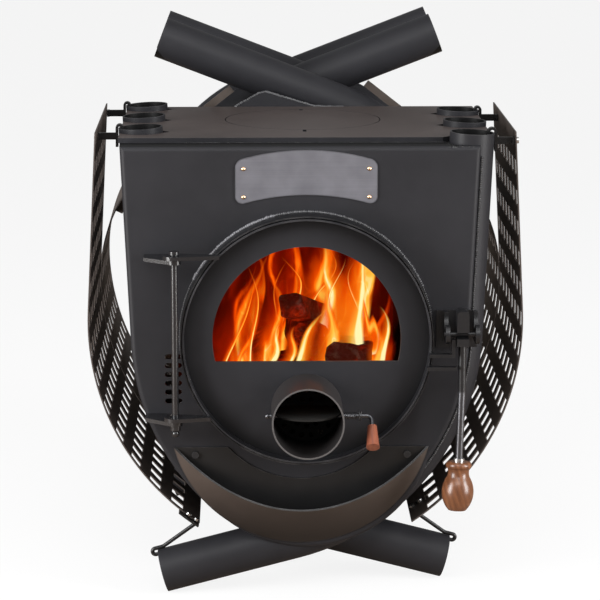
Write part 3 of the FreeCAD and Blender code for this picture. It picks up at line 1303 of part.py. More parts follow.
def rivet_head(foot_point):
    """A round head that stands forward from a point: a cap of a ball."""
    radius = val("rivet_radius")
    height = val("rivet_height")
    ball = (radius ** 2 + height ** 2) / (2 * height)
    low_angle = math.degrees(math.asin((ball - height) / ball))
    return Part.makeSphere(ball, foot_point + Vector(0, ball - height, 0), Vector(0, -1, 0),
                           low_angle, 90, 360)


def make_ash_lip():
    """Crescent back plate and a conical lip, cut off along a plane from its tips to its front."""
    disc = cylinder("lip_disc", "lip_radius", "lip_plate", ("-lip_aside", "lip_front_y", "lip_z"), "y")
    door_room = cylinder("lip_door_room", "lip_cut_radius", "lip_plate + 2",
                         ("-lip_aside", "lip_front_y - 1",
                          "door_z - frame_ring_radius - lip_door_gap + lip_cut_radius"), "y")
    above = box("lip_above", ("2 * lip_radius", "lip_plate + 2", "2 * lip_radius"),
                ("-lip_aside - lip_radius", "lip_front_y - 1", "lip_tip_height"))
    back = cut("lip_back", disc, door_room, above)
    rim_radius = "lip_z - lip_rim_height"
    slant = "sqrt(1 + ((lip_radius - (%s)) / lip_forward)^2)" % rim_radius
    outer = cone("lip_outer", rim_radius, "lip_radius", "lip_forward",
                 ("-lip_aside", "lip_front_y - lip_forward", "lip_z"), "y")
    inner = cone("lip_inner", "%s - lip_sheet * %s" % (rim_radius, slant),
                 "lip_radius - lip_sheet * %s" % slant,
                 "lip_forward", ("-lip_aside", "lip_front_y - lip_forward", "lip_z"), "y")
    shell = cut("lip_shell", outer, inner)
    fall = math.degrees(math.atan2(val("lip_tip_height") - val("lip_rim_height"), val("lip_forward")))
    above_rim = box("lip_above_rim", ("2 * lip_radius", "4 * (lip_forward + lip_radius)", "2 * lip_radius"),
                    ("-lip_aside - lip_radius", "lip_front_y - 2 * lip_forward",
                     "lip_tip_height - 2 * (lip_tip_height - lip_rim_height)"),
                    Rotation(Vector(1, 0, 0), fall))
    node(fuse("ash_lip", back, cut("lip_strip", shell, above_rim)), "ash_lip")
    bolts = [cylinder("lip_bolt_%s" % name, "bolt_radius", "bolt_height",
                      ("-lip_aside %s lip_bolt_x" % sign, "lip_front_y - bolt_height",
                       "lip_tip_height - lip_bolt_drop"), "y")
             for name, sign in (("left", "-"), ("right", "+"))]
    node(group("ash_lip_bolts", *bolts), "ash_lip_bolts")


# Guards

guard_top = Vector(val("guard_top_x"), 0, val("top_height") + val("guard_top_rise"))
guard_heading = 90 + val("guard_lean")
guard_tangent = guard_top - polar(Vector(), val("guard_straight"), guard_heading)
guard_centre = guard_tangent + polar(Vector(), val("guard_radius"), guard_heading + 90)
guard_start_angle = val("guard_lean") - val("guard_arc")
rear_turn_point = polar(guard_centre, val("guard_radius"), 0)
rear_guard_centre = rear_turn_point - Vector(val("rear_guard_radius"), 0, 0)


# Side, name and feet of the lower hooks
HOOK_SIDES = ((1, "right", (1, 9)), (-1, "left", (0, 8)))


def guard_route():
    return Route(polar(guard_centre, val("guard_radius"), guard_start_angle), guard_start_angle + 90)


def perforated(route, front, depth):
    """A bent sheet with rows of slots."""
    half = val("guard_sheet") / 2
    sheet = extruded(route.band(-half, half), front, depth)
    rows = int((route.length() - 2 * val("perforation_margin")) // val("perforation_row")) + 1
    columns = int((depth - val("perforation_width")) // val("perforation_column")) + 1
    first_y = front + (depth - (columns - 1) * val("perforation_column")) / 2
    tools = []
    for row in range(rows):
        point, heading = route.at(val("perforation_margin") + row * val("perforation_row"))
        for column in range(columns):
            slot = Part.makeBox(val("perforation_length"), val("perforation_width"), 10 * half,
                                Vector(-val("perforation_length") / 2, -val("perforation_width") / 2,
                                       -5 * half))
            slot.Placement = Placement(point + Vector(0, first_y + column * val("perforation_column"), 0),
                                       Rotation(Vector(0, -1, 0), heading))
            tools.append(slot)
    return sheet.cut(Part.makeCompound(tools))


def make_guards():
    front = guard_route().turn(val("guard_radius"), val("guard_arc")).line(val("guard_straight"))
    rear = guard_route().turn(val("guard_radius"), -guard_start_angle)
    rear.turn(val("rear_guard_radius"), val("rear_guard_turn"))
    rear_start = val("first_tube_y") + val("front_guard_depth") + val("guard_parting")
    rear_depth = val("back_plate_y") - rear_start
    front_shape = perforated(front, val("first_tube_y"), val("front_guard_depth"))
    rear_shape = perforated(rear, rear_start, rear_depth)
    for side, name in ((1, "right"), (-1, "left")):
        node(feature("front_guard_" + name, mirrored(front_shape, side)), "front_guard_" + name)
        node(feature("rear_guard_" + name, mirrored(rear_shape, side)), "rear_guard_" + name)


def strap_shape():
    """A rear strap of the right side: bent like the guard, straight, bent on, up to a crossing tube."""
    inner = -val("guard_sheet") / 2 - val("weld_gap")
    start_angle = val("rear_guard_turn") - val("strap_overlap")
    route = Route(polar(rear_guard_centre, val("rear_guard_radius"), start_angle), start_angle + 90)
    route.turn(val("rear_guard_radius"), val("strap_overlap")).line(val("strap_straight"))
    route.turn(val("rear_guard_radius"), val("strap_turn") - val("rear_guard_turn"))
    climb = polar(Vector(), 1, route.heading)
    slope = math.tan(math.radians(val("cross_slope")))
    under = val("top_height") + val("cross_rise") - tube_radius / math.cos(math.radians(val("cross_slope")))
    gap = under + slope * route.point.x - route.point.z
    reach = gap / (climb.z - slope * climb.x) - val("weld_gap")
    route.line(reach)
    return route.band(inner - val("strap_width"), inner)


def make_straps():
    face = strap_shape()
    straps = []
    for number, name, side in ((6, "left", -1), (7, "right", 1)):
        start = tube_y(number) - val("strap_thickness") / 2
        straps.append(feature("rear_strap_" + name,
                              extruded(mirrored(face, side), start, val("strap_thickness"))))
    node(group("rear_guard_straps", *straps), "rear_guard_straps")


def bracket_shape(aside):
    """A right-hand arm from the guard to a clip over a tube's rim, at a distance behind the tube's middle."""
    lean = math.tan(math.radians(val("side_lean")))
    gap = val("hook_clearance")
    thick = val("bracket_thickness")
    width = val("bracket_width")
    far = aside + width / 2
    bore = math.sqrt((tube_radius - val("tube_wall")) ** 2 - far ** 2)
    wall_out = outlet.x + tube_radius + gap
    wall_in = outlet.x + bore - gap - val("clip_inner_leg") * lean
    rim = outlet.z - (wall_in - thick - outlet.x) * lean
    arm_z = outlet.z - val("bracket_below_rim") - val("bracket_height")
    guard_x = guard_top.x + (guard_top.z - outlet.z) * math.tan(math.radians(val("guard_lean")))
    guard_x = guard_x - val("guard_sheet") / 2 - val("weld_gap")
    arch = Route(Vector(wall_out + thick / 2, 0, rim - val("clip_leg")), 90)
    arch.line(val("clip_leg")).turn((wall_out - wall_in + thick) / 2, 180).line(val("clip_inner_leg"))
    clip = extruded(arch.band(-thick / 2, thick / 2), -width / 2, width)
    arm = Part.makeBox(guard_x - wall_out, thick, val("bracket_height"), Vector(wall_out, -thick / 2, arm_z))
    foot_plate = Part.makeBox(thick, width, val("bracket_height"), Vector(guard_x - thick, -width / 2, arm_z))
    return clip.multiFuse([arm, foot_plate]).removeSplitter()


def make_brackets():
    bolts = []
    for side, name, numbers in ((1, "right", (0, 4)), (-1, "left", (1, 5))):
        arms = []
        for number in numbers:
            aside = 0 if number else val("bracket_width") * 0.6
            y = tube_y(number) + aside
            arm = mirrored(bracket_shape(aside), side)
            arm.translate(Vector(0, y, 0))
            arms.append(feature("guard_bracket_%s_%d" % (name, number), arm))
            bolts.append(feature("guard_bolt_%s_%d" % (name, number), mirrored(guard_bolt(y), side)))
        node(group("guard_brackets_" + name, *arms), "guard_brackets_" + name)
    for side, name, numbers in HOOK_SIDES:
        for number in numbers:
            for row in (1, 3):
                bolt = mirrored(lower_bolt(tube_y(number), row * val("hook_tab_turn") / 5), side)
                bolts.append(feature("lower_bolt_%s_%d_%d" % (name, number, row), bolt))
    node(group("guard_bolts", *bolts), "guard_bolts")


def guard_bolt(y):
    """A round head on the outside of a right-hand guard, level with a bracket arm."""
    z = outlet.z - val("bracket_below_rim") - val("bracket_height") / 2
    x = guard_top.x + (guard_top.z - z) * math.tan(math.radians(val("guard_lean")))
    outward = Vector(math.cos(math.radians(val("guard_lean"))), 0, math.sin(math.radians(val("guard_lean"))))
    return Part.makeCylinder(val("guard_bolt_radius"), val("guard_bolt_height"),
                             Vector(x, y, z) + outward * (val("guard_sheet") / 2), outward)


def lower_bolt(y, turn):
    """A round head inside a right-hand guard, at an angle from its lower end."""
    foot_radius = val("guard_radius") - (val("guard_sheet") + val("weld_gap")) / 2
    angle = guard_start_angle + turn
    foot_point = polar(guard_centre, foot_radius, angle) + Vector(0, y, 0)
    return Part.makeCylinder(val("guard_bolt_radius"), val("guard_bolt_height"), foot_point,
                             polar(Vector(), -1, angle))


def hook_shape(y):
    """A right-hand rod from the guard's lower end to the upper rim of a long foot."""
    rod = val("hook_rod_diameter") / 2
    rim = Vector(-foot.x, 0, foot.z)
    into = polar(Vector(), 1, 180 - val("leg_slope"))
    square = polar(Vector(), 1, 90 - val("leg_slope"))
    over = tube_radius + val("hook_clearance") + rod
    under = over - 2 * val("hook_curl")
    past = into * (val("hook_curl") + rod + val("hook_clearance"))
    radius = val("guard_radius") + val("guard_sheet") / 2 + val("weld_gap") / 2
    thick = val("hook_tab_thickness")
    tab = Route(polar(guard_centre, radius + thick / 2, guard_start_angle), guard_start_angle + 90)
    tab.turn(radius + thick / 2, val("hook_tab_turn"))
    plate = extruded(tab.band(-thick / 2, thick / 2), -val("hook_tab_width") / 2, val("hook_tab_width"))
    start = polar(guard_centre, radius + thick * 0.6, guard_start_angle + val("hook_tab_turn") / 8)
    points = [
        start,
        rim + square * over + into * (2 * val("hook_curl")),
        rim + square * over - past,
        rim + square * under - past,
        rim + square * under + into * (3 * val("hook_curl")),
    ]
    edges = rounded_path(points, [3 * val("hook_curl"), val("hook_curl") * 0.99, val("hook_curl") * 0.99])
    section = Part.Wire(Part.Circle(points[0], points[1] - points[0], rod).toShape())
    bar = Part.Wire(edges).makePipeShell([section], True, False)
    shape = plate.fuse(bar)
    shape.translate(Vector(0, y, 0))
    return shape


def make_hooks():
    for side, name, numbers in HOOK_SIDES:
        rods = [feature("lower_hook_%s_%d" % (name, number), mirrored(hook_shape(tube_y(number)), side))
                for number in numbers]
        node(group("lower_hooks_" + name, *rods), "lower_hooks_" + name)


def write_parts():
    """Check every object and sub-part, then write one file for each sub-part."""
    doc.recompute()
    faults = [item.Name for item in doc.Objects if "Invalid" in item.State or "Error" in item.State]
    for item in nodes:
        if item.Shape.isNull() or not item.Shape.isValid() or not item.Shape.Solids:
            faults.append(item.Label)
    if faults:
        raise RuntimeError("failed: " + ", ".join(faults))
    os.makedirs("parts", exist_ok=True)
    for item in nodes:
        item.Shape.exportStep("parts/%s.step" % item.Label)
    print("%d sub-parts written" % len(nodes))


make_tubes()
make_wall_strips()
make_front_plate()
make_back_plate()
make_flue_collar()
make_baffle()
make_top_plate()
make_lid()
make_step_plates()
make_door_frame()
make_door()
make_glass_clips()
make_inlet()
make_flap()
make_spring()
make_hinge()
make_latch()
make_lever()
make_keeper()
make_name_plate()
make_ash_lip()
make_guards()
make_straps()
make_brackets()
make_hooks()
write_parts()
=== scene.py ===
"""Hot air wood stove in a plain studio: matt painted steel, glazed door with a fire, wooden grips."""
import math
import random

import bmesh
import bpy
from mathutils import Matrix, Vector, noise


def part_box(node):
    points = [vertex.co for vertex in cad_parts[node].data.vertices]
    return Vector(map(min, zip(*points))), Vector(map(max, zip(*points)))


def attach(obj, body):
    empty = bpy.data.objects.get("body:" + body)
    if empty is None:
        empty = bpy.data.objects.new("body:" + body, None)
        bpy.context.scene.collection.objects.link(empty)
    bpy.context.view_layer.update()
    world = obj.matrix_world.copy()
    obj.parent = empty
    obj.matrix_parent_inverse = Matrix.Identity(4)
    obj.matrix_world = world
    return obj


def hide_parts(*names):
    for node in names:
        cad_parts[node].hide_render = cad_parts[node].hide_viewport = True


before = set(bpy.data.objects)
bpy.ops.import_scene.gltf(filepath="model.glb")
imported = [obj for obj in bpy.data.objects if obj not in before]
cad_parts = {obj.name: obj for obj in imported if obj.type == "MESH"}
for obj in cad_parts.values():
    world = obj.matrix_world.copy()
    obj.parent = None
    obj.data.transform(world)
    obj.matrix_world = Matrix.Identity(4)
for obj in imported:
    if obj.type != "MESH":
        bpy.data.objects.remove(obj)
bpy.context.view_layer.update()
scene = bpy.context.scene
scene.view_settings.view_transform = "Standard"

# Viewpoint
# A long lens stands about four metres off, a little left of the middle, and looks down at the door.
SENSOR_WIDTH = 36
LENS_LENGTH = 157.4
VIEW_LEFT = 0.0987
VIEW_AWAY = 4.074
VIEW_HEIGHT = 1.3046
LOOK_DOWN = 11.46
LOOK_RIGHT = 1.26
first_tube_y = sum(corner.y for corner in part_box("tube_right_1")) / 2
lens = bpy.data.cameras.new("long_lens")
lens.sensor_width = SENSOR_WIDTH
lens.lens = LENS_LENGTH
viewpoint = bpy.data.objects.new("viewpoint", lens)
viewpoint.location = (-VIEW_LEFT, first_tube_y - VIEW_AWAY, VIEW_HEIGHT)
viewpoint.rotation_euler = (math.radians(90 - LOOK_DOWN), 0, math.radians(-LOOK_RIGHT))
scene.collection.objects.link(viewpoint)
scene.camera = viewpoint


# Air tubes
# Ten bent steel pipes, five from each side, that draw in room air at the feet and blow it out hot.
# They are sprayed with a matt heat-proof paint, a little lighter where it has rubbed off at rims
# and edges. The six upright mouths beside the cooking top have painted shade, near black, inside.
ANTHRACITE = (0.0195, 0.0194, 0.0222)
RUBBED_GREY = (0.085, 0.083, 0.085)
EDGE_BEGINS = 0.995
EDGE_WORN = 0.82
TUBES = [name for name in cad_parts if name.startswith("tube_")]


def shader_group(name, inputs, outputs):
    """An empty node group with named sockets."""
    group = bpy.data.node_groups.new(name, "ShaderNodeTree")
    for label, kind, value in inputs:
        socket = group.interface.new_socket(
            name=label, in_out="INPUT", socket_type="NodeSocket" + kind)
        socket.default_value = value
    for label, kind in outputs:
        group.interface.new_socket(name=label, in_out="OUTPUT", socket_type="NodeSocket" + kind)
    start = group.nodes.new("NodeGroupInput")
    end = group.nodes.new("NodeGroupOutput")
    return group, start.outputs, end.inputs


def use_group(tree, group):
    """A node that runs a shared group."""
    node = tree.nodes.new("ShaderNodeGroup")
    node.node_tree = group
    return node


def set_inputs(node, **values):
    """Fixed values for a node's inputs, with an underscore for each space in a label."""
    for label, value in values.items():
        node.inputs[label.replace("_", " ")].default_value = value


def math_node(tree, operation, first, second=None, clamp=False):
    """One Math node, whose inputs are sockets or numbers."""
    node = tree.nodes.new("ShaderNodeMath")
    node.operation = operation
    node.use_clamp = clamp
    for socket, value in zip(node.inputs, (first, second)):
        if hasattr(value, "links"):
            tree.links.new(value, socket)
        elif value is not None:
            socket.default_value = value
    return node.outputs[0]


def weighted(tree, first, first_share, second, second_share):
    """Two values added, each times its share."""
    return math_node(tree, "ADD", math_node(tree, "MULTIPLY", first, first_share),
                     math_node(tree, "MULTIPLY", second, second_share))


def flat_distance(tree, first, second):
    """The length of a step from its two parts at right angles."""
    squared = math_node(tree, "ADD", math_node(tree, "POWER", first, 2),
                        math_node(tree, "POWER", second, 2))
    return math_node(tree, "SQRT", squared)


def mix_colours(tree, factor, first, second):
    """One colour Mix node, whose inputs are sockets or values."""
    node = tree.nodes.new("ShaderNodeMix")
    node.data_type = "RGBA"
    for number, value in ((0, factor), (6, first), (7, second)):
        if hasattr(value, "links"):
            tree.links.new(value, node.inputs[number])
        elif isinstance(value, (int, float)):
            node.inputs[number].default_value = value
        else:
            node.inputs[number].default_value = (*value, 1)
    return node.outputs[2]


def noise_node(tree, vector, scale, detail=3, distortion=0.0):
    """A noise texture's value on a vector."""
    node = tree.nodes.new("ShaderNodeTexNoise")
    set_inputs(node, Scale=scale, Detail=detail, Distortion=distortion)
    tree.links.new(vector, node.inputs["Vector"])
    return node.outputs["Fac"]


def scaled_colour(tree, colour, level):
    """A colour made lighter or darker by a value."""
    node = tree.nodes.new("ShaderNodeVectorMath")
    node.operation = "SCALE"
    tree.links.new(colour, node.inputs[0])
    tree.links.new(level, node.inputs["Scale"])
    return node.outputs[0]


def remap(tree, value, low, high, new_low=0.0, new_high=1.0):
    """A value moved from one range to another and held inside it."""
    node = tree.nodes.new("ShaderNodeMapRange")
    tree.links.new(value, node.inputs["Value"])
    set_inputs(node, From_Min=low, From_Max=high, To_Min=new_low, To_Max=new_high)
    return node.outputs[0]


def object_coordinates(tree):
    """The place of each point on its own object."""
    return tree.nodes.new("ShaderNodeTexCoord").outputs["Object"]


def make_edge_finder():
    """Mask of worn edges: where a rounded normal leaves the face's own normal."""
    group, inputs, outputs = shader_group(
        "worn_edges", [("Width", "Float", 0.002)], [("Edge", "Float")])
    rounded = group.nodes.new("ShaderNodeBevel")
    rounded.samples = 4
    group.links.new(inputs["Width"], rounded.inputs["Radius"])
    face = group.nodes.new("ShaderNodeNewGeometry")
    dot = group.nodes.new("ShaderNodeVectorMath")
    dot.operation = "DOT_PRODUCT"
    group.links.new(rounded.outputs[0], dot.inputs[0])
    group.links.new(face.outputs["Normal"], dot.inputs[1])
    group.links.new(remap(group, dot.outputs["Value"], EDGE_BEGINS, EDGE_WORN), outputs["Edge"])
    return group


def make_sprayed_coat():
    """Sprayed paint: cloudy tone, fine grain and lighter rubbed edges."""
    group, inputs, outputs = shader_group(
        "sprayed_coat",
        [("Colour", "Color", (0.05, 0.05, 0.05, 1)), ("Rub", "Float", 0.5), ("Matt", "Float", 0.55),
         ("Clouds", "Float", 0.25)],
        [("Colour", "Color"), ("Roughness", "Float"), ("Height", "Float")])
    place = object_coordinates(group)
    clouds = noise_node(group, place, scale=5, detail=5)
    streaks = noise_node(group, place, scale=38, detail=4)
    grain = noise_node(group, place, scale=900, detail=2)
    tone = weighted(group, clouds, 0.7, streaks, 0.3)
    swing = math_node(group, "MULTIPLY", math_node(group, "SUBTRACT", tone, 0.5), inputs["Clouds"])
    level = math_node(group, "ADD", math_node(group, "MULTIPLY", swing, 4.0), 1.0)
    cloudy = scaled_colour(group, inputs["Colour"], level)
    edge = use_group(group, worn_edges)
    patchy = math_node(group, "MULTIPLY", edge.outputs["Edge"], remap(group, streaks, 0.35, 0.6))
    rubbed = math_node(group, "MULTIPLY", patchy, inputs["Rub"], clamp=True)
    group.links.new(mix_colours(group, rubbed, cloudy, RUBBED_GREY), outputs["Colour"])
    dull = math_node(group, "ADD", inputs["Matt"], math_node(group, "MULTIPLY", swing, 0.6))
    group.links.new(math_node(group, "SUBTRACT", dull, math_node(group, "MULTIPLY", rubbed, 0.15)),
                    outputs["Roughness"])
    group.links.new(math_node(group, "ADD", grain, math_node(group, "MULTIPLY", streaks, 0.6)),
                    outputs["Height"])
    return group


worn_edges = make_edge_finder()
sprayed_coat = make_sprayed_coat()


def new_finish(name):
    """A material and its surface shader."""
    material = bpy.data.materials.new(name)
    material.use_nodes = True
    return material, material.node_tree, material.node_tree.nodes["Principled BSDF"]


def bump(tree, surface, height, distance):
    """Let a height shape the surface's normal."""
    node = tree.nodes.new("ShaderNodeBump")
    set_inputs(node, Strength=1.0, Distance=distance)
    tree.links.new(height, node.inputs["Height"])
    tree.links.new(node.outputs["Normal"], surface.inputs["Normal"])


def sprayed_finish(name, colour, matt=0.5, rub=0.5, clouds=0.22, grain=0.00006, sheen=0.22):
    """Painted steel, from the shared coat."""
    material, tree, surface = new_finish(name)
    set_inputs(surface, Specular_IOR_Level=sheen)
    coat = use_group(tree, sprayed_coat)
    set_inputs(coat, Colour=(*colour, 1), Matt=matt, Rub=rub, Clouds=clouds)
    tree.links.new(coat.outputs["Colour"], surface.inputs["Base Color"])
    tree.links.new(coat.outputs["Roughness"], surface.inputs["Roughness"])
    bump(tree, surface, coat.outputs["Height"], grain)
    return material


def dress(finish, *names):
    """Give a finish to solids that keep their own shape."""
    for name in names:
        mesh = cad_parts[name].data
        mesh.materials.clear()
        mesh.materials.append(finish)


MOUTH_SHADE = (0.004, 0.004, 0.0042)
TUBE_BORE = 0.0325
TUBE_WALL = 0.0025
MOUTH_DEPTH = 0.03


def coat_mask(finish, masked, mask):
    """Give a sprayed finish another colour where a mask is 1."""
    tree = finish.node_tree
    shown = tree.nodes["Principled BSDF"].inputs["Base Color"]
    under = shown.links[0].from_socket
    tree.links.new(mix_colours(tree, mask, under, masked), shown)


def split_vector(tree, vector):
    """The X, Y and Z of a vector."""
    node = tree.nodes.new("ShaderNodeSeparateXYZ")
    tree.links.new(vector, node.inputs[0])
    return node.outputs


def facing(tree):
    """The X, Y and Z of the surface's direction."""
    return split_vector(tree, tree.nodes.new("ShaderNodeNewGeometry").outputs["Normal"])


tube_paint = sprayed_finish("tube_paint", ANTHRACITE, matt=0.47, rub=0.6)
tube_tree = tube_paint.node_tree
tube_place = split_vector(tube_tree, object_coordinates(tube_tree))
outlet_x = (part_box("tube_right_2")[1].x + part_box("tube_right_1")[1].x) / 2 - TUBE_BORE - TUBE_WALL
outlet_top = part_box("tube_right_1")[1].z
tube_pitch = (sum(corner.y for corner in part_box("tube_left_1")) / 2) - first_tube_y
from_middle = math_node(tube_tree, "ABSOLUTE", tube_place["X"])
aside = math_node(tube_tree, "SUBTRACT", from_middle, outlet_x)
shifted = math_node(tube_tree, "SUBTRACT", tube_place["Y"], first_tube_y - tube_pitch / 2)
between = math_node(tube_tree, "FLOORED_MODULO", shifted, tube_pitch)
along = math_node(tube_tree, "SUBTRACT", between, tube_pitch / 2)
from_axis = flat_distance(tube_tree, aside, along)
# Painted shade: the bores of the six upright mouths are coloured near black, as the shade inside them.
in_bore = remap(tube_tree, from_axis, TUBE_BORE + TUBE_WALL * 0.7, TUBE_BORE + TUBE_WALL * 0.3)
near_top = remap(tube_tree, tube_place["Z"], outlet_top - MOUTH_DEPTH, outlet_top - MOUTH_DEPTH / 2)
upright = remap(tube_tree, facing(tube_tree)["Z"], 0.6, 0.3)
mouth_shade = math_node(tube_tree, "MULTIPLY", in_bore, near_top)
mouth_shade = math_node(tube_tree, "MULTIPLY", mouth_shade, upright)
coat_mask(tube_paint, MOUTH_SHADE, mouth_shade)
dress(tube_paint, *TUBES)


# Fire box
# Steel strips lie between neighbouring tubes, a gable stands behind the cooking top, and a back plate
# carries the flue collar. The baffle and the ledge under the lid are sooty, with a dry, dead black
# surface.
body_paint = sprayed_finish("body_paint", ANTHRACITE, matt=0.5, rub=0.45)
soot = sprayed_finish("soot", (0.012, 0.011, 0.01), matt=0.9, rub=0.0, clouds=0.4, grain=0.0003)
dress(body_paint, "right_wall_strips", "left_wall_strips", "back_plate", "flue_collar",
      "step_plates")
dress(soot, "baffle_plate", "lid_ledge")


# Logs
# Split logs stacked in the hollow of the tubes, charred black, with embers glowing in their cracks.
# Three cold ones lie across the front, behind the door plate.
CHAR = (0.01, 0.008, 0.007)
ASH = (0.09, 0.08, 0.075)
GRAIN_ACROSS = 45
GRAIN_ALONG = 7
ROUGH_BARK = 0.14
FINE_BARK = 0.07
THICK_END = 1.2
THIN_END = 1.1
SPLIT_ROUND = 0.25
LOGS = [
    # start, end, half thickness in metres and turn in degrees
    ((-0.062, -0.225, 0.215), (-0.05, 0.05, 0.225), 0.042, 20),
    ((0.03, -0.225, 0.205), (0.045, 0.04, 0.21), 0.045, 50),
    ((0.1, -0.22, 0.265), (0.085, 0.05, 0.27), 0.034, 10),
    ((-0.11, -0.22, 0.285), (-0.1, 0.04, 0.28), 0.032, 70),
    ((-0.03, -0.23, 0.3), (0.0, 0.05, 0.3), 0.04, 35),
    ((0.068, -0.262, 0.362), (0.085, 0.0, 0.345), 0.045, 51),
    ((-0.085, -0.2, 0.335), (-0.06, 0.05, 0.34), 0.03, 15),
    ((-0.024, -0.27, 0.466), (0.04, -0.12, 0.412), 0.021, 30),
    ((0.008, -0.23, 0.395), (-0.015, 0.03, 0.42), 0.034, 60),
]
COLD_LOGS = [
    ((-0.1, -0.304, 0.33), (0.11, -0.304, 0.326), 0.03, 40),
    ((-0.1, -0.3, 0.272), (0.1, -0.3, 0.27), 0.034, 25),
    ((-0.085, -0.29, 0.216), (0.09, -0.29, 0.218), 0.038, 15),
]


def finish_piece(name, shape, finish, smooth=True):
    """Turn a bmesh into a piece with one finish."""
    mesh = bpy.data.meshes.new(name)
    for face in shape.faces:
        face.smooth = smooth
    shape.to_mesh(mesh)
    shape.free()
    mesh.materials.append(finish)
    piece = bpy.data.objects.new(name, mesh)
    scene.collection.objects.link(piece)
    return piece


def make_heat_colours():
    """Colour of glowing gas and embers, from black through red and orange to pale yellow."""
    group, inputs, outputs = shader_group(
        "heat_colours", [("Heat", "Float", 0.5)], [("Colour", "Color")])
    ramp = group.nodes.new("ShaderNodeValToRGB")
    stops = ramp.color_ramp.elements
    stops[0].position = 0.0
    stops[0].color = (0.004, 0.0, 0.0, 1)
    stops[1].position = 1.0
    stops[1].color = (1.0, 0.93, 0.5, 1)
    for position, colour in ((0.2, (0.075, 0.0015, 0.0)), (0.38, (0.33, 0.01, 0.0)),
                             (0.55, (0.84, 0.075, 0.0)), (0.72, (1.0, 0.21, 0.006)),
                             (0.88, (1.0, 0.56, 0.07))):
        stop = stops.new(position)
        stop.color = (*colour, 1)
    group.links.new(inputs["Heat"], ramp.inputs["Fac"])
    group.links.new(ramp.outputs["Color"], outputs["Colour"])
    return group


heat_colours = make_heat_colours()


def glow(tree, surface, heat, strength):
    """Let a heat value light the surface."""
    colours = use_group(tree, heat_colours)
    tree.links.new(heat, colours.inputs["Heat"])
    tree.links.new(colours.outputs["Colour"], surface.inputs["Emission Color"])
    set_inputs(surface, Emission_Strength=strength)


def long_edges(shape, least):
    """Edges that rise by more than a least height."""
    return [edge for edge in shape.edges if abs((edge.verts[0].co - edge.verts[1].co).z) > least]


def charred_log(name, finish, start, end, half, turned):
    """A split log: a rough four-sided bar, displaced along its grain."""
    start, end = Vector(start), Vector(end)
    along = end - start
    shape = bmesh.new()
    bmesh.ops.create_cone(shape, cap_ends=True, segments=4, radius1=half * THICK_END,
                          radius2=half * THIN_END, depth=along.length)
    bmesh.ops.bevel(shape, geom=long_edges(shape, half), offset=half * SPLIT_ROUND, segments=2,
                    profile=0.5, affect="EDGES", material=-1)
    bmesh.ops.subdivide_edges(shape, edges=shape.edges[:], cuts=3, use_grid_fill=True)
    bmesh.ops.subdivide_edges(shape, edges=long_edges(shape, half * 0.6), cuts=3, use_grid_fill=True)
    for vertex in shape.verts:
        grain = Vector((vertex.co.x * GRAIN_ACROSS, vertex.co.y * GRAIN_ACROSS,
                        vertex.co.z * GRAIN_ALONG + turned))
        rough = noise.noise(grain) * ROUGH_BARK + noise.noise(grain * 3) * FINE_BARK
        vertex.co.x *= 1 + rough
        vertex.co.y *= 1 + rough
    aim = along.to_track_quat("Z", "Y").to_matrix().to_4x4()
    spin = Matrix.Rotation(math.radians(turned), 4, "Z")
    shape.transform(Matrix.Translation((start + end) / 2) @ aim @ spin)
    log = finish_piece(name, shape, finish)
    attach(log, "stove")


def charred_finish(name):
    """Blocky charcoal with patches of ash, and the place and cracks that its glow needs."""
    material, tree, surface = new_finish(name)
    place = object_coordinates(tree)
    ash_patches = remap(tree, noise_node(tree, place, scale=38, detail=5), 0.55, 0.72)
    tree.links.new(mix_colours(tree, ash_patches, CHAR, ASH), surface.inputs["Base Color"])
    set_inputs(surface, Roughness=0.95, Specular_IOR_Level=0.1)
    blocks = tree.nodes.new("ShaderNodeTexVoronoi")
    blocks.feature = "DISTANCE_TO_EDGE"
    set_inputs(blocks, Scale=130)
    tree.links.new(place, blocks.inputs["Vector"])
    bump(tree, surface, blocks.outputs["Distance"], distance=0.003)
    return material, tree, surface, place, blocks.outputs["Distance"]


cold_char = charred_finish("cold_char")[0]
live_char, char_tree, char, char_place, block_edge = charred_finish("live_char")
cracks = remap(char_tree, block_edge, 0.16, 0.0, 0.0, 0.3)
hot_patches = noise_node(char_tree, char_place, scale=26, detail=5)
embers = remap(char_tree, hot_patches, 0.42, 0.72, 0.16, 0.62)
char_heat = math_node(char_tree, "MULTIPLY", math_node(char_tree, "ADD", cracks, 0.7), embers)
glow(char_tree, char, char_heat, strength=0.7)
for number, log in enumerate(LOGS, start=1):
    charred_log("log_%d" % number, live_char, *log)
for number, log in enumerate(COLD_LOGS, start=1):
    charred_log("cold_log_%d" % number, cold_char, *log)


# Embers
# A heap of broken, glowing coals that fills the bottom of the fire box under the logs.
COALS = 150
COAL_LEAST = 0.011
COAL_MOST = 0.019
COAL_LENGTHS = (0.8, 1.4)
COAL_HEIGHTS = (0.6, 1.0)
FULL_TURN = 6.28
HALF_TURN = 3.14
BED_HALF_WIDTH = 0.085
BED_FRONT = -0.285
BED_BACK = 0.05
BED_FLOOR = 0.172
BED_SIDE_RISE = 0.022
BED_HEAP = 0.012
ember_finish, ember_tree, ember = new_finish("glowing_coals")
ember_place = object_coordinates(ember_tree)
ashes = noise_node(ember_tree, ember_place, scale=60, detail=4)
ember_tree.links.new(mix_colours(ember_tree, ashes, CHAR, ASH), ember.inputs["Base Color"])
set_inputs(ember, Roughness=0.95)
hot_spots = noise_node(ember_tree, ember_place, scale=42, detail=4)
glow(ember_tree, ember, remap(ember_tree, hot_spots, 0.38, 0.66, 0.1, 0.72), strength=0.8)
draw = random.Random(5)
shape = bmesh.new()
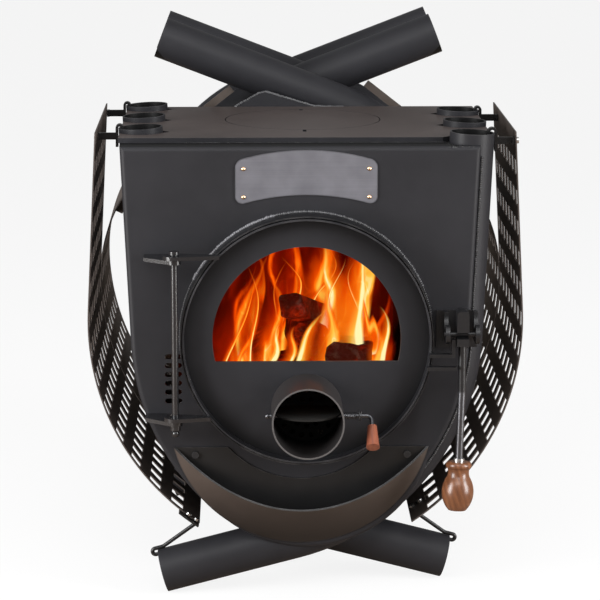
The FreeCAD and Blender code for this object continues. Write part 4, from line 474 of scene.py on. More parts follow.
for coal in range(COALS):
    aside = draw.uniform(-1, 1)
    depth = draw.uniform(BED_FRONT, BED_BACK)
    height = BED_FLOOR + abs(aside) * BED_SIDE_RISE + draw.uniform(0, BED_HEAP)
    place = Matrix.Translation((aside * BED_HALF_WIDTH, depth, height))
    stretch = [draw.uniform(*COAL_LENGTHS), draw.uniform(*COAL_LENGTHS),
               draw.uniform(*COAL_HEIGHTS), 1]
    spin = Matrix.Rotation(draw.uniform(0, FULL_TURN), 4, "Z")
    tip = Matrix.Rotation(draw.uniform(0, HALF_TURN), 4, "X")
    bmesh.ops.create_icosphere(shape, subdivisions=1, radius=draw.uniform(COAL_LEAST, COAL_MOST),
                               matrix=place @ spin @ tip @ Matrix.Diagonal(stretch))
coals = finish_piece("ember_bed", shape, ember_finish, smooth=False)
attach(coals, "stove")


# Flames
# Tall tongues of burning gas behind the window, as thin curved sheets that end in a point.
# One rim of each is hottest and palest, and from there it fades through orange and red to clear air.
FLAME_SWELL = 0.8
FOOT_WIDTH = 0.15
FOOT_CURVE = 0.35
TIP_CURVE = 0.6
FLAME_WAVES = 6
ROOT_SWAY = 0.3
SHEET_BULGE = 0.45
TONGUES = [
    # root in metres, height, width, lean to the right, sway, warmth, and the bright rim's side
    ((-0.135, -0.16, 0.33), 0.19, 0.06, 0.04, 0.012, 0.36, 1),
    ((-0.112, -0.21, 0.335), 0.215, 0.06, 0.03, 0.008, 0.5, 1),
    ((-0.096, -0.24, 0.345), 0.2, 0.05, 0.026, 0.01, 0.56, -1),
    ((-0.118, -0.265, 0.355), 0.1, 0.034, 0.03, 0.006, 0.5, 1),
    ((-0.07, -0.25, 0.355), 0.155, 0.05, 0.014, 0.012, 0.58, 1),
    ((-0.062, -0.275, 0.37), 0.07, 0.03, 0.02, 0.005, 0.8, 1),
    ((-0.034, -0.278, 0.37), 0.065, 0.03, 0.018, 0.006, 0.66, 1),
    ((-0.052, -0.12, 0.36), 0.25, 0.07, 0.03, 0.014, 0.46, 1),
    ((-0.012, -0.09, 0.38), 0.21, 0.07, -0.01, 0.016, 0.42, -1),
    ((-0.008, -0.28, 0.372), 0.09, 0.032, 0.038, 0.006, 0.74, -1),
    ((0.022, -0.24, 0.35), 0.155, 0.05, 0.018, 0.01, 0.66, 1),
    ((0.018, -0.12, 0.41), 0.16, 0.08, -0.006, 0.016, 0.58, 1),
    ((0.048, -0.2, 0.375), 0.205, 0.075, 0.012, 0.012, 0.76, -1),
    ((0.066, -0.235, 0.38), 0.19, 0.07, 0.006, 0.01, 0.84, 1),
    ((0.075, -0.15, 0.36), 0.24, 0.08, 0.0, 0.012, 0.72, 1),
    ((0.096, -0.2, 0.37), 0.14, 0.05, -0.004, 0.012, 0.58, 1),
    ((0.113, -0.272, 0.365), 0.1, 0.036, 0.008, 0.006, 0.84, 1),
    ((0.126, -0.25, 0.35), 0.085, 0.04, 0.006, 0.006, 0.6, -1),
    ((0.13, -0.15, 0.33), 0.14, 0.05, 0.012, 0.01, 0.34, -1),
]
THREADS = [
    # thin bright threads of flame, in the same order
    ((-0.134, -0.272, 0.36), 0.16, 0.012, 0.06, 0.004, 0.62, 1),
    ((-0.088, -0.27, 0.362), 0.17, 0.01, 0.004, 0.009, 0.7, 1),
    ((-0.056, -0.25, 0.36), 0.18, 0.01, 0.03, 0.012, 0.6, -1),
    ((-0.01, -0.23, 0.44), 0.1, 0.01, -0.014, 0.012, 0.66, 1),
    ((0.01, -0.2, 0.42), 0.13, 0.012, 0.03, 0.016, 0.7, 1),
    ((0.04, -0.22, 0.385), 0.15, 0.012, 0.01, 0.012, 0.84, 1),
    ((0.088, -0.22, 0.39), 0.14, 0.01, -0.004, 0.012, 0.8, -1),
]


def mapped(tree, vector, **changes):
    """A vector with a location, rotation or scale laid on it."""
    node = tree.nodes.new("ShaderNodeMapping")
    set_inputs(node, **changes)
    tree.links.new(vector, node.inputs["Vector"])
    return node.outputs["Vector"]


def make_flame_heat():
    """Heat and cover of one tongue from its own map: across it, and from root to tip."""
    group, inputs, outputs = shader_group(
        "flame_heat", [("Map", "Vector", (0, 0, 0)), ("Warmth", "Float", 0.5)],
        [("Heat", "Float"), ("Cover", "Float")])
    place = mapped(group, object_coordinates(group), Scale=(1, 0.6, 0.4))
    parts = split_vector(group, inputs["Map"])
    across, up = parts["X"], parts["Y"]
    billow = noise_node(group, place, scale=22, detail=1, distortion=0.8)
    wisps = noise_node(group, place, scale=30, detail=1, distortion=1.2)
    waver = math_node(group, "MULTIPLY", math_node(group, "SUBTRACT", billow, 0.5), 0.7)
    ragged = math_node(group, "ADD", across, waver)
    off_rim = math_node(group, "ABSOLUTE", math_node(group, "SUBTRACT", ragged, 0.8))
    rim = remap(group, off_rim, 0.13, 0.02)
    body = remap(group, ragged, 0.0, 0.75)
    off_thread = math_node(group, "ABSOLUTE", math_node(group, "SUBTRACT", wisps, 0.5))
    thread = remap(group, off_thread, 0.05, 0.0)
    root_heat = remap(group, up, 0.3, 0.0, 0.0, 0.16)
    cooling = remap(group, up, 0.3, 1.0, 0.0, 0.22)
    heat = math_node(group, "MULTIPLY", inputs["Warmth"], remap(group, body, 0.0, 1.0, 0.5, 1.04))
    heat = math_node(group, "ADD", heat, math_node(group, "MULTIPLY", rim, 0.24))
    heat = math_node(group, "ADD", heat, math_node(group, "MULTIPLY", thread, 0.06))
    heat = math_node(group, "ADD", heat, root_heat)
    group.links.new(math_node(group, "SUBTRACT", heat, cooling), outputs["Heat"])
    soft_side = remap(group, ragged, 0.1, 0.7, 0.0, 0.85)
    cover = math_node(group, "ADD", soft_side, math_node(group, "MULTIPLY", rim, 0.3), clamp=True)
    cover = math_node(group, "MULTIPLY", cover, remap(group, ragged, 1.0, 0.9))
    cover = math_node(group, "MULTIPLY", cover, remap(group, across, 1.0, 0.94))
    cover = math_node(group, "MULTIPLY", cover, remap(group, up, 1.0, 0.6))
    group.links.new(cover, outputs["Cover"])
    return group


def flame_tongue(shape, root, height, width, lean, sway, warmth, side, phase):
    """A tapering sheet that bulges towards the window, with its map and warmth written on it."""
    mapping = shape.loops.layers.uv["flame"]
    heat = shape.verts.layers.float["warmth"]
    made = bmesh.ops.create_grid(shape, x_segments=8, y_segments=26, size=0.5)
    spots = {vertex: (vertex.co.x * 2, vertex.co.y + 0.5) for vertex in made["verts"]}
    for face in {face for vertex in made["verts"] for face in vertex.link_faces}:
        for corner in face.loops:
            across, up = spots[corner.vert]
            corner[mapping].uv = (across * side / 2 + 0.5, up)
    for vertex, (across, up) in spots.items():
        vertex[heat] = warmth
        half = width * FLAME_SWELL * (up + FOOT_WIDTH) ** FOOT_CURVE * (1 - up) ** TIP_CURVE
        aside = lean * up + sway * math.sin(phase + up * FLAME_WAVES) * (ROOT_SWAY + up)
        bulge = (across ** 2 - 1) * half * SHEET_BULGE
        vertex.co = Vector(root) + Vector((aside + across * half, bulge, height * up))


flame_heat = make_flame_heat()
flame_finish, flame_tree, flame = new_finish("flame")
set_inputs(flame, Base_Color=(0, 0, 0, 1), Specular_IOR_Level=0.0)
flame_map = flame_tree.nodes.new("ShaderNodeUVMap")
flame_map.uv_map = "flame"
tongue_heat = use_group(flame_tree, flame_heat)
flame_warmth = flame_tree.nodes.new("ShaderNodeAttribute")
flame_warmth.attribute_name = "warmth"
flame_tree.links.new(flame_warmth.outputs["Fac"], tongue_heat.inputs["Warmth"])
flame_tree.links.new(flame_map.outputs["UV"], tongue_heat.inputs["Map"])
glow(flame_tree, flame, tongue_heat.outputs["Heat"], strength=1.12)
flame_tree.links.new(tongue_heat.outputs["Cover"], flame.inputs["Alpha"])
shape = bmesh.new()
shape.loops.layers.uv.new("flame")
shape.verts.layers.float.new("warmth")
draw = random.Random(3)
for tongue in TONGUES + THREADS:
    flame_tongue(shape, *tongue, draw.uniform(0, FULL_TURN))
flames = finish_piece("flames", shape, flame_finish)
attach(flames, "stove")


# Glowing smoke
# A red haze at the back of the fire box, where the gas burns behind the logs: a sheet curled forward
# at both sides.
SMOKE_RADIUS = 0.174
SMOKE_BACK = 0.055
SMOKE_CURL = 0.1
SMOKE_TURN = 2.2
SMOKE_MIDDLE = 0.45
SMOKE_HEIGHT = 0.4
haze_finish, haze_tree, haze = new_finish("glowing_smoke")
set_inputs(haze, Base_Color=(0, 0, 0, 1), Specular_IOR_Level=0.0)
haze_place = mapped(haze_tree, object_coordinates(haze_tree), Scale=(1, 1, 0.4))
swirl = noise_node(haze_tree, haze_place, scale=13, detail=5, distortion=1.8)
glow(haze_tree, haze, remap(haze_tree, swirl, 0.36, 0.74, 0.1, 0.4), strength=1.0)
shape = bmesh.new()
bmesh.ops.create_grid(shape, x_segments=24, y_segments=12, size=0.5)
for vertex in shape.verts:
    turn = vertex.co.x * SMOKE_TURN
    depth = SMOKE_BACK - SMOKE_CURL * (1 - math.cos(turn))
    height = SMOKE_MIDDLE + vertex.co.y * SMOKE_HEIGHT
    vertex.co = Vector((SMOKE_RADIUS * math.sin(turn), depth, height))
smoke = finish_piece("glowing_smoke", shape, haze_finish)
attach(smoke, "stove")


# Front plate and door frame
# The folded front plate and the rolled frame ring are welded together and sprayed with the tubes.
# The fold's level top lies in the groove under the cooking top and has painted shade, near black.
GROOVE_SHADE = (0.0035, 0.0035, 0.0038)
RING_BLACK = (0.009, 0.009, 0.0102)
plate_paint = sprayed_finish("plate_paint", ANTHRACITE, matt=0.5, rub=0.45)
front_tree = plate_paint.node_tree
# Painted shade: upward faces of the fold, in the groove under the cooking top, are coloured near black.
coat_mask(plate_paint, GROOVE_SHADE, remap(front_tree, facing(front_tree)["Z"], 0.9, 0.97))
ring_paint = sprayed_finish("ring_paint", RING_BLACK, matt=0.42, rub=0.9, sheen=0.3)
dress(plate_paint, "front_plate")
dress(ring_paint, "door_frame_ring")


# Cooking top
# A thick plate with a lift-off lid. Their upward faces are brown, a heat-browned coat together with
# painted light from above, and their edges are as dark as the tubes.
HEAT_BROWN_AND_TOP_LIGHT = (0.07, 0.0565, 0.053)


def coat_colour(finish, colour):
    """Let a colour socket set what a sprayed finish is sprayed with."""
    tree = finish.node_tree
    tree.links.new(colour, tree.nodes["Group"].inputs["Colour"])


cooking_paint = sprayed_finish("cooking_paint", HEAT_BROWN_AND_TOP_LIGHT, matt=0.42, rub=0.25, clouds=0.3)
cooking_tree = cooking_paint.node_tree
# Painted light: faces that point up are coloured brown and lighter, as if lit from above; the rest keep
# the tube colour.
top_light_mask = remap(cooking_tree, facing(cooking_tree)["Z"], 0.6, 0.9)
coat_colour(cooking_paint, mix_colours(cooking_tree, top_light_mask, ANTHRACITE, HEAT_BROWN_AND_TOP_LIGHT))
dress(cooking_paint, "top_plate", "lid")


# Door
# A rolled rim round a flat plate. Both are painted, and the rim's front edge has lost its paint in
# places. The plate has painted shade in the corner along the rim.
RIM_CORNER_SHADE = (0.007, 0.007, 0.008)
RIM_SHADE = 0.045
door_paint = sprayed_finish("door_paint", ANTHRACITE, matt=0.5, rub=0.9)
face_paint = sprayed_finish("face_paint", ANTHRACITE, matt=0.5, rub=0.5)
face_tree = face_paint.node_tree
low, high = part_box("door_plate")
door_radius = (high.x - low.x) / 2
centred = mapped(face_tree, object_coordinates(face_tree), Location=-(low + high) / 2)
face_place = split_vector(face_tree, centred)
reach = flat_distance(face_tree, face_place["X"], face_place["Z"])
# Painted shade: the door plate darkens towards the rim, as the shade in the corner between plate and
# rim.
corner = remap(face_tree, reach, door_radius - RIM_SHADE, door_radius)
coat_mask(face_paint, RIM_CORNER_SHADE, math_node(face_tree, "POWER", corner, 1.5))
dress(door_paint, "door_rim", "glass_clips")
dress(face_paint, "door_plate")


# Window
# Heat-proof glass with a slight warm tint, held by clips behind the door plate. The screws of the
# clips are bright, finely scratched steel.
STEEL_DARK = (0.42, 0.42, 0.42)
STEEL_LIGHT = (0.75, 0.75, 0.74)
glass_finish = new_finish("stove_glass")[0]
glass = glass_finish.node_tree.nodes["Principled BSDF"]
set_inputs(glass, Base_Color=(0.98, 0.9, 0.8, 1), Roughness=0.02, IOR=1.08)
set_inputs(glass, Specular_IOR_Level=0.1, Transmission_Weight=1.0)
dress(glass_finish, "window_glass")
bright_steel, steel_tree, steel = new_finish("bright_steel")
scratches = noise_node(steel_tree, object_coordinates(steel_tree), scale=420, detail=3)
steel_tree.links.new(mix_colours(steel_tree, scratches, STEEL_DARK, STEEL_LIGHT),
                     steel.inputs["Base Color"])
steel_tree.links.new(remap(steel_tree, scratches, 0.2, 0.8, 0.2, 0.4), steel.inputs["Roughness"])
set_inputs(steel, Metallic=1.0)
dress(bright_steel, "glass_clip_screws")


# Rope gasket
# Three twisted strands of glass fibre rope, glued in a ring behind the door plate.
STRANDS = 3
ROPE_TWISTS = 46
POINTS_PER_TWIST = 8
STRAND_SHARE = 0.52
ROPE_DARK = (0.19, 0.185, 0.17)
ROPE_PALE = (0.46, 0.44, 0.4)


def tube_mesh(name, points, radius, closed=False):
    """A round strand through points, as a mesh."""
    curve = bpy.data.curves.new(name + "_line", "CURVE")
    curve.dimensions = "3D"
    curve.bevel_depth = radius
    curve.bevel_resolution = 3
    curve.use_fill_caps = True
    spline = curve.splines.new("POLY")
    spline.points.add(len(points) - 1)
    for point, place in zip(spline.points, points):
        point.co = (*place, 1)
    spline.use_cyclic_u = closed
    carrier = bpy.data.objects.new(name + "_line", curve)
    scene.collection.objects.link(carrier)
    bpy.context.view_layer.update()
    graph = bpy.context.evaluated_depsgraph_get()
    mesh = bpy.data.meshes.new_from_object(carrier.evaluated_get(graph))
    bpy.data.objects.remove(carrier)
    bpy.data.curves.remove(curve)
    return mesh


def join_meshes(name, meshes, finish):
    """One piece made of several meshes."""
    shape = bmesh.new()
    for mesh in meshes:
        shape.from_mesh(mesh)
        bpy.data.meshes.remove(mesh)
    return finish_piece(name, shape, finish)


low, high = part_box("door_gasket")
rope_centre = (low + high) / 2
rope_half = (high.y - low.y) / 2
rope_ring = (high.x - low.x) / 2 - rope_half
rope_finish, rope_tree, rope_surface = new_finish("fibre_rope")
fibres = noise_node(rope_tree, object_coordinates(rope_tree), scale=700, detail=4)
rope_colour = mix_colours(rope_tree, fibres, ROPE_DARK, ROPE_PALE)
rope_tree.links.new(rope_colour, rope_surface.inputs["Base Color"])
set_inputs(rope_surface, Roughness=0.95)
bump(rope_tree, rope_surface, fibres, distance=0.0006)
strand_radius = rope_half * STRAND_SHARE
strand_offset = rope_half - strand_radius
strands = []
for strand in range(STRANDS):
    points = []
    steps = ROPE_TWISTS * POINTS_PER_TWIST
    for step in range(steps):
        turn = 2 * math.pi * step / steps
        twist = turn * ROPE_TWISTS + 2 * math.pi * strand / STRANDS
        reach = rope_ring + strand_offset * math.cos(twist)
        points.append(rope_centre + Vector((reach * math.cos(turn), strand_offset * math.sin(twist),
                                            reach * math.sin(turn))))
    strands.append(tube_mesh("strand", points, strand_radius, closed=True))
rope = join_meshes("rope_gasket", strands, rope_finish)
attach(rope, "door")
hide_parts("door_gasket")


# Air inlet
# A short painted pipe with a perforated spark screen behind it. Its cut front edge shows bare steel,
# and its bore has painted shade, near black.
RIM_DEPTH = 0.0012
INLET_WALL = 0.004
INLET_BROWN = (0.028, 0.025, 0.025)
BORE_SHADE = (0.006, 0.0055, 0.0055)
CUT_STEEL = (0.11, 0.105, 0.105)
SCREEN_BLACK = (0.01, 0.009, 0.0085)
CUT_SHINE = 0.3
low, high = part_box("air_inlet_pipe")
inlet_radius = (high.x - low.x) / 2
inlet_paint = sprayed_finish("inlet_paint", INLET_BROWN, matt=0.45, clouds=0.25)
inlet_tree = inlet_paint.node_tree
inlet_place = split_vector(inlet_tree, object_coordinates(inlet_tree))
inlet_height = math_node(inlet_tree, "SUBTRACT", inlet_place["Z"], (low.z + high.z) / 2)
inlet_reach = flat_distance(inlet_tree, inlet_place["X"], inlet_height)
# Painted shade: the inner wall of the pipe is coloured near black, as the shade inside the bore.
bore_shade_mask = remap(inlet_tree, inlet_reach, inlet_radius - INLET_WALL / 3, inlet_radius - INLET_WALL)
coat_mask(inlet_paint, BORE_SHADE, bore_shade_mask)
bare_rim = remap(inlet_tree, inlet_place["Y"], low.y + RIM_DEPTH, low.y)
coat_mask(inlet_paint, CUT_STEEL, bare_rim)
inlet_tree.links.new(math_node(inlet_tree, "MULTIPLY", bare_rim, CUT_SHINE),
                     inlet_tree.nodes["Principled BSDF"].inputs["Metallic"])
dress(inlet_paint, "air_inlet_pipe")
screen_steel = sprayed_finish("screen_steel", SCREEN_BLACK, matt=0.7, rub=0.2, clouds=0.4)
dress(screen_steel, "spark_screen")


# Air flap
# A sooty sheet disc on a bent steel rod. A spring and a washer keep it where it is turned.
ROD_BLACK = (0.017, 0.017, 0.0185)
ROD_DARK = (0.085, 0.085, 0.092)
ROD_LIGHT = (0.13, 0.13, 0.138)
rod_paint = sprayed_finish("rod_paint", ROD_BLACK, matt=0.36, rub=0.8, sheen=0.4)


def rolled_steel(tree):
    """Dark rolled steel with faint mill marks."""
    marks = noise_node(tree, object_coordinates(tree), scale=60, detail=3)
    return mix_colours(tree, marks, ROD_DARK, ROD_LIGHT)


rod_steel, rod_tree, rod = new_finish("dark_rod_steel")
rod_tree.links.new(rolled_steel(rod_tree), rod.inputs["Base Color"])
set_inputs(rod, Roughness=0.27, Metallic=0.9)
dress(soot, "damper_flap")
dress(rod_paint, "damper_washer")
dress(rod_steel, "damper_shaft")


# Flap spring
# Dark spring wire, wound in open turns between the pipe and the washer.
SPRING_TURNS = 7
SPRING_STEPS = 24
WIRE_RADIUS = 0.0008
low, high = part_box("damper_spring")
coil_radius = (high.y - low.y) / 2 - WIRE_RADIUS
coil_middle = (low + high) / 2
coil_start = low.x + WIRE_RADIUS
coil_length = high.x - low.x - 2 * WIRE_RADIUS
points = []
for step in range(SPRING_TURNS * SPRING_STEPS + 1):
    part = step / (SPRING_TURNS * SPRING_STEPS)
    turn = 2 * math.pi * SPRING_TURNS * part
    points.append(Vector((coil_start + coil_length * part,
                          coil_middle.y + coil_radius * math.cos(turn),
                          coil_middle.z + coil_radius * math.sin(turn))))
spring = join_meshes("flap_spring", [tube_mesh("wire", points, WIRE_RADIUS)], rod_steel)
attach(spring, "damper")
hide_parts("damper_spring")


# Wooden grips
# Turned hardwood: a short reddish grip on the flap rod and a larger oiled knob on the latch.
def make_wood_grain():
    """Long grain with growth rings and pores, along one axis of the piece."""
    group, inputs, outputs = shader_group(
        "wood_grain",
        [("Place", "Vector", (0, 0, 0)), ("Early", "Color", (0.5, 0.2, 0.1, 1)),
         ("Late", "Color", (0.2, 0.07, 0.03, 1))],
        [("Colour", "Color"), ("Height", "Float")])
    place = mapped(group, inputs["Place"], Scale=(1, 1, 0.12))
    drift = noise_node(group, place, scale=55, detail=4, distortion=1.2)
    rings = group.nodes.new("ShaderNodeTexWave")
    rings.wave_type = "BANDS"
    rings.bands_direction = "X"
    set_inputs(rings, Scale=40, Distortion=9, Detail=4)
    group.links.new(place, rings.inputs["Vector"])
    pores = noise_node(group, place, scale=1400, detail=2)
    figure = weighted(group, drift, 0.85, rings.outputs["Fac"], 0.15)
    colour = mix_colours(group, remap(group, figure, 0.3, 0.75), inputs["Late"], inputs["Early"])
    dark_pores = remap(group, pores, 0.3, 0.42, 0.72, 1.0)
    group.links.new(scaled_colour(group, colour, dark_pores), outputs["Colour"])
    group.links.new(math_node(group, "ADD", figure, dark_pores), outputs["Height"])
    return group


wood_grain = make_wood_grain()


def wood_finish(name, early, late, turned, roughness):
    """Oiled hardwood, whose grain is turned to run along the piece."""
    material, tree, surface = new_finish(name)
    grain = use_group(tree, wood_grain)
    set_inputs(grain, Early=(*early, 1), Late=(*late, 1))
    place = mapped(tree, object_coordinates(tree), Rotation=turned)
    tree.links.new(place, grain.inputs["Place"])
    tree.links.new(grain.outputs["Colour"], surface.inputs["Base Color"])
    set_inputs(surface, Roughness=roughness, Coat_Weight=0.25, Coat_Roughness=0.3)
    bump(tree, surface, grain.outputs["Height"], distance=0.00012)
    return material


GRIP_TURN = (math.radians(47), 0, 0)
KNOB_TURN = (0.05, 0.3, 0)
grip_wood = wood_finish("grip_wood", early=(0.3, 0.088, 0.04), late=(0.15, 0.038, 0.018),
                        turned=GRIP_TURN, roughness=0.5)
knob_wood = wood_finish("knob_wood", early=(0.23, 0.09, 0.038), late=(0.092, 0.032, 0.0135),
                        turned=KNOB_TURN, roughness=0.27)
dress(grip_wood, "damper_handle")
dress(knob_wood, "latch_knob")


# Hinge
# Lugs on the frame and on the door rim sit on one long steel pin with washers and a nut, all under
# a glossy black paint.
HINGE_BLACK = (0.011, 0.011, 0.0125)
hinge_paint = sprayed_finish("hinge_paint", HINGE_BLACK, matt=0.24, rub=0.0, sheen=0.7)
dress(hinge_paint, "hinge_pin", "hinge_nut", "hinge_washers", "hinge_frame_lugs", "hinge_door_lugs")


# Latch
# A forked bracket carries the cam lever on a cross pin. The rod ends in a bright ferrule above the
# knob. The lever is painted down to the knee of its rod, and bare rolled steel below it.
LATCH_BLACK = (0.009, 0.009, 0.01)
KNEE_BELOW_CAM = 0.133
KNEE_BLUR = 0.001
latch_paint = sprayed_finish("latch_paint", LATCH_BLACK, matt=0.33, rub=0.25, sheen=0.45)
lever_finish, lever_tree, lever_surface = new_finish("lever_paint_and_steel")
knee_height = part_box("latch_lever")[1].z - KNEE_BELOW_CAM
lever_height = split_vector(lever_tree, object_coordinates(lever_tree))["Z"]
bare = remap(lever_tree, lever_height, knee_height + KNEE_BLUR, knee_height - KNEE_BLUR)
lever_tree.links.new(mix_colours(lever_tree, bare, LATCH_BLACK, rolled_steel(lever_tree)),
                     lever_surface.inputs["Base Color"])
lever_tree.links.new(math_node(lever_tree, "MULTIPLY", bare, 0.9), lever_surface.inputs["Metallic"])
lever_tree.links.new(remap(lever_tree, bare, 0.0, 1.0, 0.36, 0.34),
                     lever_surface.inputs["Roughness"])
dress(latch_paint, "latch_bracket", "latch_pin", "door_keeper")
dress(lever_finish, "latch_lever")
dress(bright_steel, "latch_ferrule")


# Name plate
# A bare grey metal plate, finely brushed along its length, on four round brass rivets.
PLATE_DARK = (0.125, 0.125, 0.142)
PLATE_LIGHT = (0.18, 0.18, 0.203)
PLATE_RIM = (0.03, 0.03, 0.033)
PLATE_RIM_WIDTH = 0.0035
BRASS_DARK = (0.6, 0.36, 0.2)
BRASS_LIGHT = (0.95, 0.72, 0.5)
plate_finish, plate_tree, plate_surface = new_finish("brushed_plate")
plate_place = object_coordinates(plate_tree)
brush_lines = mapped(plate_tree, plate_place, Scale=(6, 1, 900))
brushing = noise_node(plate_tree, brush_lines, scale=1, detail=3)
stains = noise_node(plate_tree, plate_place, scale=26, detail=4)
plate_tone = remap(plate_tree, weighted(plate_tree, brushing, 0.3, stains, 0.7), 0.3, 0.7)
plate_grey = mix_colours(plate_tree, plate_tone, PLATE_DARK, PLATE_LIGHT)
plate_edge = use_group(plate_tree, worn_edges)
set_inputs(plate_edge, Width=PLATE_RIM_WIDTH)
plate_tree.links.new(mix_colours(plate_tree, plate_edge.outputs["Edge"], plate_grey, PLATE_RIM),
                     plate_surface.inputs["Base Color"])
set_inputs(plate_surface, Metallic=0.35, Roughness=0.45)
bump(plate_tree, plate_surface, brushing, distance=0.00004)
dress(plate_finish, "name_plate")
rivet_brass, rivet_tree, rivet_surface = new_finish("rivet_brass")
tarnish = noise_node(rivet_tree, object_coordinates(rivet_tree), scale=500, detail=3)
rivet_tree.links.new(mix_colours(rivet_tree, tarnish, BRASS_DARK, BRASS_LIGHT),
                     rivet_surface.inputs["Base Color"])
set_inputs(rivet_surface, Metallic=1.0, Roughness=0.22)
dress(rivet_brass, "name_plate_rivets")


# Ash lip
# A folded sheet pocket under the door that catches ash, bolted to the front plate. It is brown
# outside, with painted shade darkening it towards its foot, and painted shade, near black, inside.
LIP_BROWN = (0.058, 0.044, 0.037)
LIP_SHADE = (0.013, 0.0098, 0.0086)
LIP_INSIDE_SHADE = (0.009, 0.0088, 0.0092)
SHADE_START = 0.014
SHADE_END = 0.11
FLANGE_BLUR = 0.002
lip_paint = sprayed_finish("lip_paint", LIP_BROWN, matt=0.4, rub=0.7, clouds=0.3, sheen=0.4)
lip_tree = lip_paint.node_tree
lip_place = split_vector(lip_tree, object_coordinates(lip_tree))
lip_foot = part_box("ash_lip")[0].z
# Painted shade: the outside darkens towards the foot, where less light reaches it.
lip_rise = remap(lip_tree, lip_place["Z"], lip_foot + SHADE_START, lip_foot + SHADE_END)
lip_graded = mix_colours(lip_tree, lip_rise, LIP_SHADE, LIP_BROWN)
flange_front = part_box("ash_lip_bolts")[1].y
# Painted shade: faces inside the pocket and behind the flange front are coloured near black.
outside = remap(lip_tree, facing(lip_tree)["Z"], 0.05, -0.05)
forward = remap(lip_tree, lip_place["Y"], flange_front, flange_front - FLANGE_BLUR)
lip_brown = math_node(lip_tree, "MULTIPLY", outside, forward)
coat_colour(lip_paint, mix_colours(lip_tree, lip_brown, LIP_INSIDE_SHADE, lip_graded))
dress(lip_paint, "ash_lip")
dress(rod_paint, "ash_lip_bolts")


# Guards
# Perforated sheets that keep hands off the hot tubes, hung on hooked brackets, straps and hook rods.
GUARD_BROWN = (0.075, 0.061, 0.054)
STRAP_BROWN = (0.085, 0.068, 0.058)
BRACKET_BLACK = (0.006, 0.006, 0.0065)
guard_paint = sprayed_finish("guard_paint", GUARD_BROWN, matt=0.48, rub=0.5, clouds=0.35)
strap_paint = sprayed_finish("strap_paint", STRAP_BROWN, matt=0.42, rub=0.6, clouds=0.35, sheen=0.4)
bracket_black = sprayed_finish("bracket_black", BRACKET_BLACK, matt=0.28, rub=0.1, sheen=0.5)
dress(guard_paint, "front_guard_left", "front_guard_right", "rear_guard_left", "rear_guard_right")
dress(strap_paint, "rear_guard_straps")
dress(bracket_black, "guard_brackets_left", "guard_brackets_right", "lower_hooks_left",
      "lower_hooks_right")
dress(bright_steel, "guard_bolts")


# Weld beads
# Overlapping ripples of filler where plates, ring and tubes were joined. Some are painted over and
# some are bare and bright, with painted highlight and shade on the ring weld.
BEAD_STEP = 0.0034
BEAD_LEAST = 0.82
BEAD_MOST = 1.12
BEAD_WANDER = 0.12
BEAD_SINK = 0.001
RING_STEP = 3
weld_paint = sprayed_finish("weld_paint", (0.035, 0.035, 0.037), matt=0.32, rub=1.0, sheen=0.4)
bare_weld_highlight = sprayed_finish("bare_weld_highlight", (0.17, 0.17, 0.183), matt=0.34, rub=0.4, sheen=0.5)
weld_dull = sprayed_finish("weld_dull", (0.075, 0.075, 0.08), matt=0.34, rub=0.8, sheen=0.5)
# Painted shade: near-black filler for the weld runs that lie in shadow under the cooking top.
weld_shade_black = sprayed_finish("weld_shade_black", (0.005, 0.005, 0.0055), matt=0.28, rub=0.5, sheen=0.6)


def weld_bead(name, path, radius, finish, seed):
    """Ripples of a weld along a path of points."""
    draw = random.Random(seed)
    shape = bmesh.new()
    for start, end in zip(path, path[1:]):
        run = end - start
        count = max(1, round(run.length / BEAD_STEP))
        for step in range(count):
            size = radius * draw.uniform(BEAD_LEAST, BEAD_MOST)
            shift = Vector([draw.uniform(-1, 1) for axis in range(3)]) * radius * BEAD_WANDER
            place = Matrix.Translation(start + run * (step / count) + shift)
            bmesh.ops.create_icosphere(shape, subdivisions=1, radius=size, matrix=place)
    bead = finish_piece(name, shape, finish)
    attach(bead, "stove")


low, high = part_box("door_frame_ring")
ring_middle = (low + high) / 2
ring_radius = (high.x - low.x) / 2
ring_back = high.y


def round_ring(first, last):
    """Points where the frame ring meets the front plate, between two angles in degrees."""
    reach = ring_radius + BEAD_SINK
    return [Vector((ring_middle.x + reach * math.cos(math.radians(angle)), ring_back - BEAD_SINK,
                    ring_middle.z + reach * math.sin(math.radians(angle))))
            for angle in range(first, last + 1, RING_STEP)]


# Painted light: the ring weld is brightest on its upper left arc as a painted highlight, and dimmer on
# its upper right arc where less light falls.
weld_bead("weld_ring_left", round_ring(105, 153), radius=0.0031, finish=bare_weld_highlight, seed=1)
weld_bead("weld_ring_right", round_ring(24, 105), radius=0.0026, finish=weld_dull, seed=6)
weld_bead("weld_ring_foot", round_ring(153, 384), radius=0.0021, finish=weld_paint, seed=2)


# Top edge weld
# A run under the front edge of the cooking top, painted near black as the shade under that edge.
TOP_WELD_LEFT = -0.19
TOP_WELD_RIGHT = 0.222
top_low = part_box("top_plate")[0]
top_weld = [Vector((end, top_low.y + BEAD_SINK, top_low.z - BEAD_SINK))
            for end in (TOP_WELD_LEFT, TOP_WELD_RIGHT)]
weld_bead("weld_top_edge", top_weld, radius=0.0028, finish=weld_shade_black, seed=3)


